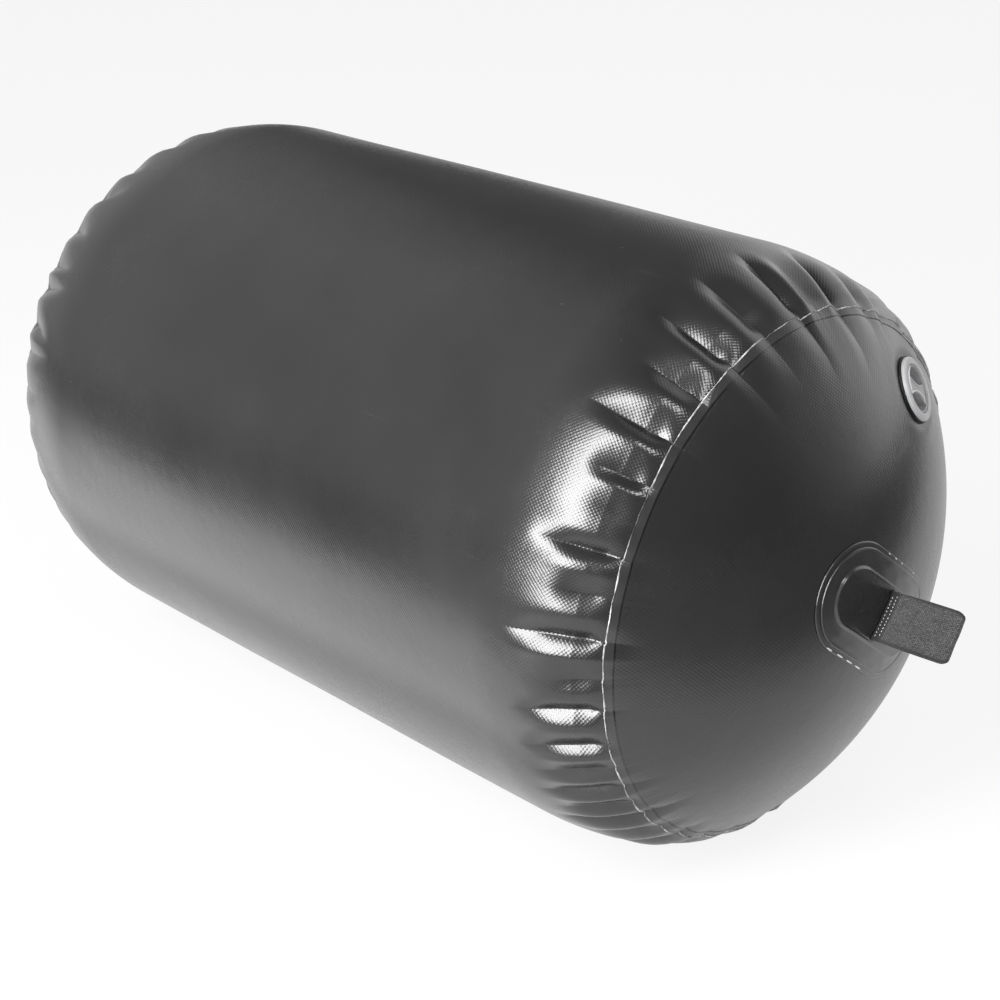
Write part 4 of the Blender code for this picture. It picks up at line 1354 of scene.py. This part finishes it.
def strap_mesh(name, side):
    half = strap_half_path()
    path = half + [(0.0, loop_height - strap_thickness / 2, half[-1][2])]
    path += [(-u, height, width) for u, height, width in half[::-1]]
    section = np.array(strap_section())
    lengths = [0.0]
    for before, after in zip(path, path[1:]):
        lengths.append(lengths[-1] + math.dist(before[:2], after[:2]))
    rows = []
    uvs = []
    for index, (u, height, width) in enumerate(path):
        before = path[max(index - 1, 0)]
        after = path[min(index + 1, len(path) - 1)]
        along = Vector((after[0] - before[0], after[1] - before[1])).normalized()
        across = Vector((-along.y, along.x))
        ripple = 1 + 0.04 * np.sin(section[:, 0] * 37 + lengths[index] * 800)
        reach = strap_thickness * section[:, 1] * ripple
        rise = height + across.y * reach
        lean = math.tan(strap_lean) * np.maximum(0, rise - loop_root_length)
        upward = smooth_step((rise - curl_start) / curl_run)
        curl = curl_left * upward * smooth_step((-section[:, 0] - 0.1) / 0.9)
        curl = curl - curl_right * upward * smooth_step((section[:, 0] - 0.2) / 0.8)
        v = width * section[:, 0]
        local = on_dome(u + across.x * reach, v, rise)
        local[:, 0] += curl
        local[:, 1] += lean
        rows.append(local)
        uvs.append(np.stack([np.full(len(section), lengths[index]), v + np.sign(section[:, 1]) * MM], -1))
    points = moved(np.stack(rows), end_frame(side))
    middle = end_frame(side) @ Vector((0, 0, 0.04))
    mesh = grid_mesh(name, points, np.stack(uvs), middle)
    bm = read_mesh(mesh)
    columns = len(section)
    for ring in (range(columns), range(len(bm.verts) - columns, len(bm.verts))):
        bm.faces.new([bm.verts[index] for index in ring])
    write_mesh(bm, mesh)
    # Painted shade over the loop's foot, near black up to about 14 mm, and darker along both edges.
    edge = mesh.attributes.new("dark_rim_and_root_shade", "FLOAT", "POINT")
    rim = smooth_step((np.abs(section[:, 0]) - 0.9) / 0.06)
    root_shade = [0.9 * (1 - smooth_step((height - 13.5 * MM) / (2 * MM))) for u, height, width in path]
    edge.data.foreach_set("value", np.maximum.outer(root_shade, rim).reshape(-1))
    return mesh


def stitch_mesh(name, side):
    """Two rows of short stitches across the foot of the loop, on both its faces."""
    bm = bmesh.new()
    place = end_frame(side)
    dice = random.Random(31 + side)
    count = int((strap_width - 5 * MM) / stitch_pitch)
    face_height = (ply_gap / 2 + strap_thickness) + 0.1 * MM
    for face in (1, -1):
        for row, rise in enumerate(stitch_rows):
            for number in range(count):
                v = (number - (count - 1) / 2 + (0.5 if row else 0.0) - 0.25) * stitch_pitch
                v += dice.uniform(-0.3, 0.3) * MM
                lean = math.tan(strap_lean) * max(0.0, rise - loop_root_length)
                size = Matrix.Diagonal((0.4 * MM, 0.95 * MM, 0.55 * MM, 1.0))
                turn = Matrix.Rotation(dice.uniform(-0.25, 0.25), 4, "X")
                spot = Matrix.Translation((face * face_height, v + lean, rise - v * v / (2 * dome_radius)))
                bmesh.ops.create_icosphere(bm, subdivisions=2, radius=1.0, matrix=place @ spot @ turn @ size)
    return write_mesh(bm, bpy.data.meshes.new(name))


def glint_mesh(name, side):
    """Painted glints: long pale dashes along one straight side of the base patch and short ones on the other,
    standing in for highlights on its welded edge.
    """
    bm = bmesh.new()
    place = end_frame(side)
    level = touch_gap + patch_thickness + 0.25 * MM
    long_glints = [(-46, -1, 6.5), (-27, -1, 6.5), (-8, -1, 6.5), (11, -1, 6.0)]
    short_glints = [(-24, 1, 1.8), (-10, 1, 2.2), (4, 1, 1.2), (35, 1, 1.6)]
    for u, edge, reach in long_glints + short_glints:
        v = edge * (base_patch_half_width - 1.6 * MM)
        fall = (u * u * MM * MM + v * v) / (2 * dome_radius)
        lean = Matrix.Rotation(v / dome_radius, 4, "X").inverted()
        spot = Matrix.Translation((u * MM, v, level - fall))
        size = Matrix.Diagonal((reach * MM, 0.75 * MM, 0.45 * MM, 1.0))
        bmesh.ops.create_icosphere(bm, subdivisions=3, radius=1.0, matrix=place @ spot @ lean @ size)
    return write_mesh(bm, bpy.data.meshes.new(name))


def cut_edge_mesh(end, name):
    """The raw edge of the tube's cloth: a thin frayed strip along its lip."""
    fine = 3
    base_angle = end.column_angles(0.0)
    columns = len(base_angle)
    steps = np.arange(columns * fine) / fine

    def finer(values, once_round=0.0):
        return np.interp(steps, np.arange(columns + 1), np.append(values, values[0] + once_round))

    angle = finer(base_angle, 2 * np.pi)
    lift = finer(end.lift(0.0, base_angle) + end.pucker(0.0, base_angle))
    shift = finer(end.edge_shift())
    dice = np.random.default_rng(5 + end.side)
    rag = dice.uniform(-0.35, 0.35, len(steps)) * MM
    ragged = np.convolve(np.concatenate([rag[-1:], rag, rag[:1]]), [0.25, 0.5, 0.25], mode="valid")
    swell = 0.2 * MM * np.sin(angle * 23) + 0.15 * MM * np.sin(angle * 57)
    section = [(0.5, 1.16, 0.6), (0.25, 1.34, 0.6), (-0.2, 1.25, 1.0), (-0.5, 0.9, 1.2), (-0.65, 0.45, 1.2)]
    rows = []
    uvs = []
    for along, height, ragged_share in section:
        distance = along * MM + shift + (ragged + swell) * ragged_share * np.sign(along)
        rows.append(cloth_point(end.side, angle, distance, lift + height * MM))
        uvs.append(np.stack([angle * seam_radius, np.full_like(angle, along * MM)], -1))
    turn = 2 * math.pi * seam_radius
    return grid_mesh(name, np.stack(rows), np.stack(uvs), (0, 0, axis_height), uv_turn=turn)


# Build the pieces

fabric = coated_fabric_material()
patch = patch_material()
raw_edge = cut_edge_material()
webbing = webbing_material()
thread = thread_material("stitch_thread", 0.2, 0.42)
# Painted glints: pale colour for the dashes along the base patch's edge.
glint_paint = thread_material("glint_paint", 0.6, 0.85)
light_plastic = plastic_material("flange_plastic", 0.42, 0.52)
cap_plastic = plastic_material("cap_plastic", 0.36, 0.46)
# Painted highlight: near-white plastic for the cap's lips stands in for light catching their edges.
painted_highlight_plastic = plastic_material("painted_highlight_plastic", 0.72, 0.82)
rubber = rubber_material()
steel = steel_material()

make_piece("bag_tube", tube_mesh(), fabric, "bag", ["fender_bag"])
for label, end in (("near", near_end), ("far", far_end)):
    side = end.side
    panel = "near_end_disc" if side > 0 else "fender_bag"
    make_piece(f"{label}_disc", disc_mesh(end, f"{label}_disc"), fabric, "bag", [panel])
    make_piece(f"{label}_cut_edge", cut_edge_mesh(end, f"{label}_cut_edge"), raw_edge, "bag")
    mesh = layer_mesh(f"{label}_base_layer", side, base_patch_rings())
    make_piece(f"{label}_base_layer", mesh, patch, "bag", [f"{label}_base_patch"])
    mesh = layer_mesh(f"{label}_cover_layer", side, cover_patch_rings())
    make_piece(f"{label}_cover_layer", mesh, patch, "bag", [f"{label}_cover_patch"])
    mesh = strap_mesh(f"{label}_strap", side)
    make_piece(f"{label}_strap", mesh, webbing, "bag", [f"{label}_webbing_loop"])
    make_piece(f"{label}_stitches", stitch_mesh(f"{label}_stitches", side), thread, "bag")
    # Painted glints along the base patch's edge.
    make_piece(f"{label}_painted_glints", glint_mesh(f"{label}_painted_glints", side), glint_paint, "bag")
make_flange(light_plastic)
make_cap(cap_plastic, painted_highlight_plastic)
make_spring(steel)

kept_nodes = {
    "valve_gasket": rubber,
    "valve_base_nut": light_plastic,
    "cap_seal_ring": rubber,
    "poppet_stem": cap_plastic,
    "poppet_seal": rubber,
    "push_button": cap_plastic,
}
for name, material in kept_nodes.items():
    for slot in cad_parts[name].material_slots:
        slot.material = material


# Stage

# In reflections the pale ground ends this far from the middle, to the right and in front
paper_right = 0.8
paper_front = 0.85
paper_fade = 0.35
paper_dimming = 0.75
paper_colour = 0.85
floor_glow_seen = 0.86
floor_glow_mirrored = 0.55
room_grey = 0.135


def make_floor():
    bm = bmesh.new()
    bmesh.ops.create_grid(bm, x_segments=1, y_segments=1, size=14.0)
    mesh = bpy.data.meshes.new("floor")
    bm.to_mesh(mesh)
    bm.free()
    floor = add_object("floor", mesh)
    material = bpy.data.materials.new("pale_floor")
    material.use_nodes = True
    tree = material.node_tree
    tree.nodes.clear()
    wires = Wiring(tree, None)
    rays = wires.node("ShaderNodeLightPath")
    mirrored = wires.math("MAXIMUM", rays.outputs["Is Glossy Ray"], rays.outputs["Is Transmission Ray"])
    share = wires.times(rays.outputs["Is Camera Ray"], floor_glow_seen)
    share = wires.math("MAXIMUM", share, wires.times(mirrored, floor_glow_mirrored))
    parts = wires.parts(wires.place)
    outside = wires.math(
        "MAXIMUM",
        wires.spread(parts[0], paper_right, paper_right + paper_fade),
        wires.spread(parts[1], -paper_front, -paper_front - paper_fade),
    )
    dimmed = wires.times(wires.times(outside, paper_dimming), mirrored)
    diffuse = wires.node("ShaderNodeBsdfDiffuse")
    paper = wires.math("MULTIPLY_ADD", dimmed, -paper_colour, paper_colour)
    wires.feed(diffuse.inputs["Color"], paper)
    glow = wires.node("ShaderNodeEmission")
    wires.feed(glow.inputs["Strength"], wires.math("SUBTRACT", 1.0, dimmed))
    wires.blend(share, diffuse, glow, "ShaderNodeOutputMaterial")
    mesh.materials.append(material)


# Lamps: name, place, target, width, height and power in watts
lamps = [
    ("front_strip", (0.3, -2.7, 1.55), (0.4, 0.0, 0.35), 0.94, 2.9, 200),
    ("upper_right", (1.7, -0.9, 2.7), (0.5, 0.0, 0.35), 0.6, 0.6, 20),
    ("floor_card", (-0.6, -0.56, 0.02), (-0.6, -0.56, 1.0), 1.8, 0.42, 2.2),
]

# Camera, fitted to the outline, the seam and the apex
camera_place = (1.3661, -1.3295, 1.1128)
camera_target = (0.0470, 0.0167, 0.2512)
camera_lens = 66.89

# Pale sides of the room: direction, where each starts and is full (as cosines), and strength
room_panels = [
    ((-0.98, -0.17, 0.0), 0.64, 0.9, 0.5),
    ((0.035, 0.999, 0.0), 0.74, 0.91, 1.15),
    ((0.5, 0.866, 0.0), 0.8, 0.97, 0.55),
]


def make_world():
    """White for the camera; for light and reflections a dim room with three paler sides."""
    world = bpy.context.scene.world or bpy.data.worlds.new("room")
    bpy.context.scene.world = world
    world.use_nodes = True
    tree = world.node_tree
    tree.nodes.clear()
    wires = Wiring(tree, None)
    rays = wires.node("ShaderNodeLightPath")
    flat = wires.node("ShaderNodeVectorMath", operation="MULTIPLY")
    wires.feed(flat.inputs[0], wires.place_in_room)
    flat.inputs[1].default_value = (1, 1, 0.4)
    level = wires.node("ShaderNodeVectorMath", operation="NORMALIZE")
    wires.feed(level.inputs[0], flat.outputs["Vector"])
    total = room_grey
    for towards, low, high, strength in room_panels:
        facing = wires.node("ShaderNodeVectorMath", operation="DOT_PRODUCT")
        wires.feed(facing.inputs[0], level.outputs["Vector"])
        facing.inputs[1].default_value = towards
        total = wires.plus(wires.spread(facing.outputs["Value"], low, high, 0.0, strength), total)
    room = wires.node("ShaderNodeBackground")
    wires.feed(room.inputs["Color"], total)
    white = wires.node("ShaderNodeBackground")
    white.inputs["Color"].default_value = (1, 1, 1, 1)
    wires.blend(rays.outputs["Is Camera Ray"], room, white, "ShaderNodeOutputWorld")


def aim(thing, place, target):
    thing.location = place
    thing.rotation_euler = (Vector(target) - Vector(place)).to_track_quat("-Z", "Y").to_euler()


def make_softbox(name, place, target, width, height, power):
    light = bpy.data.lights.new(name, "AREA")
    light.shape = "RECTANGLE"
    light.size = width
    light.size_y = height
    light.energy = power
    lamp = add_object(name, light)
    lamp.visible_camera = False
    aim(lamp, place, target)


make_floor()
make_world()
for lamp in lamps:
    make_softbox(*lamp)

camera_data = bpy.data.cameras.new("camera")
camera_data.sensor_width = 36
camera_data.lens = camera_lens
camera_data.clip_end = 60
camera = add_object("camera", camera_data)
aim(camera, camera_place, camera_target)
bpy.context.scene.camera = camera
bpy.context.scene.view_settings.view_transform = "Standard"
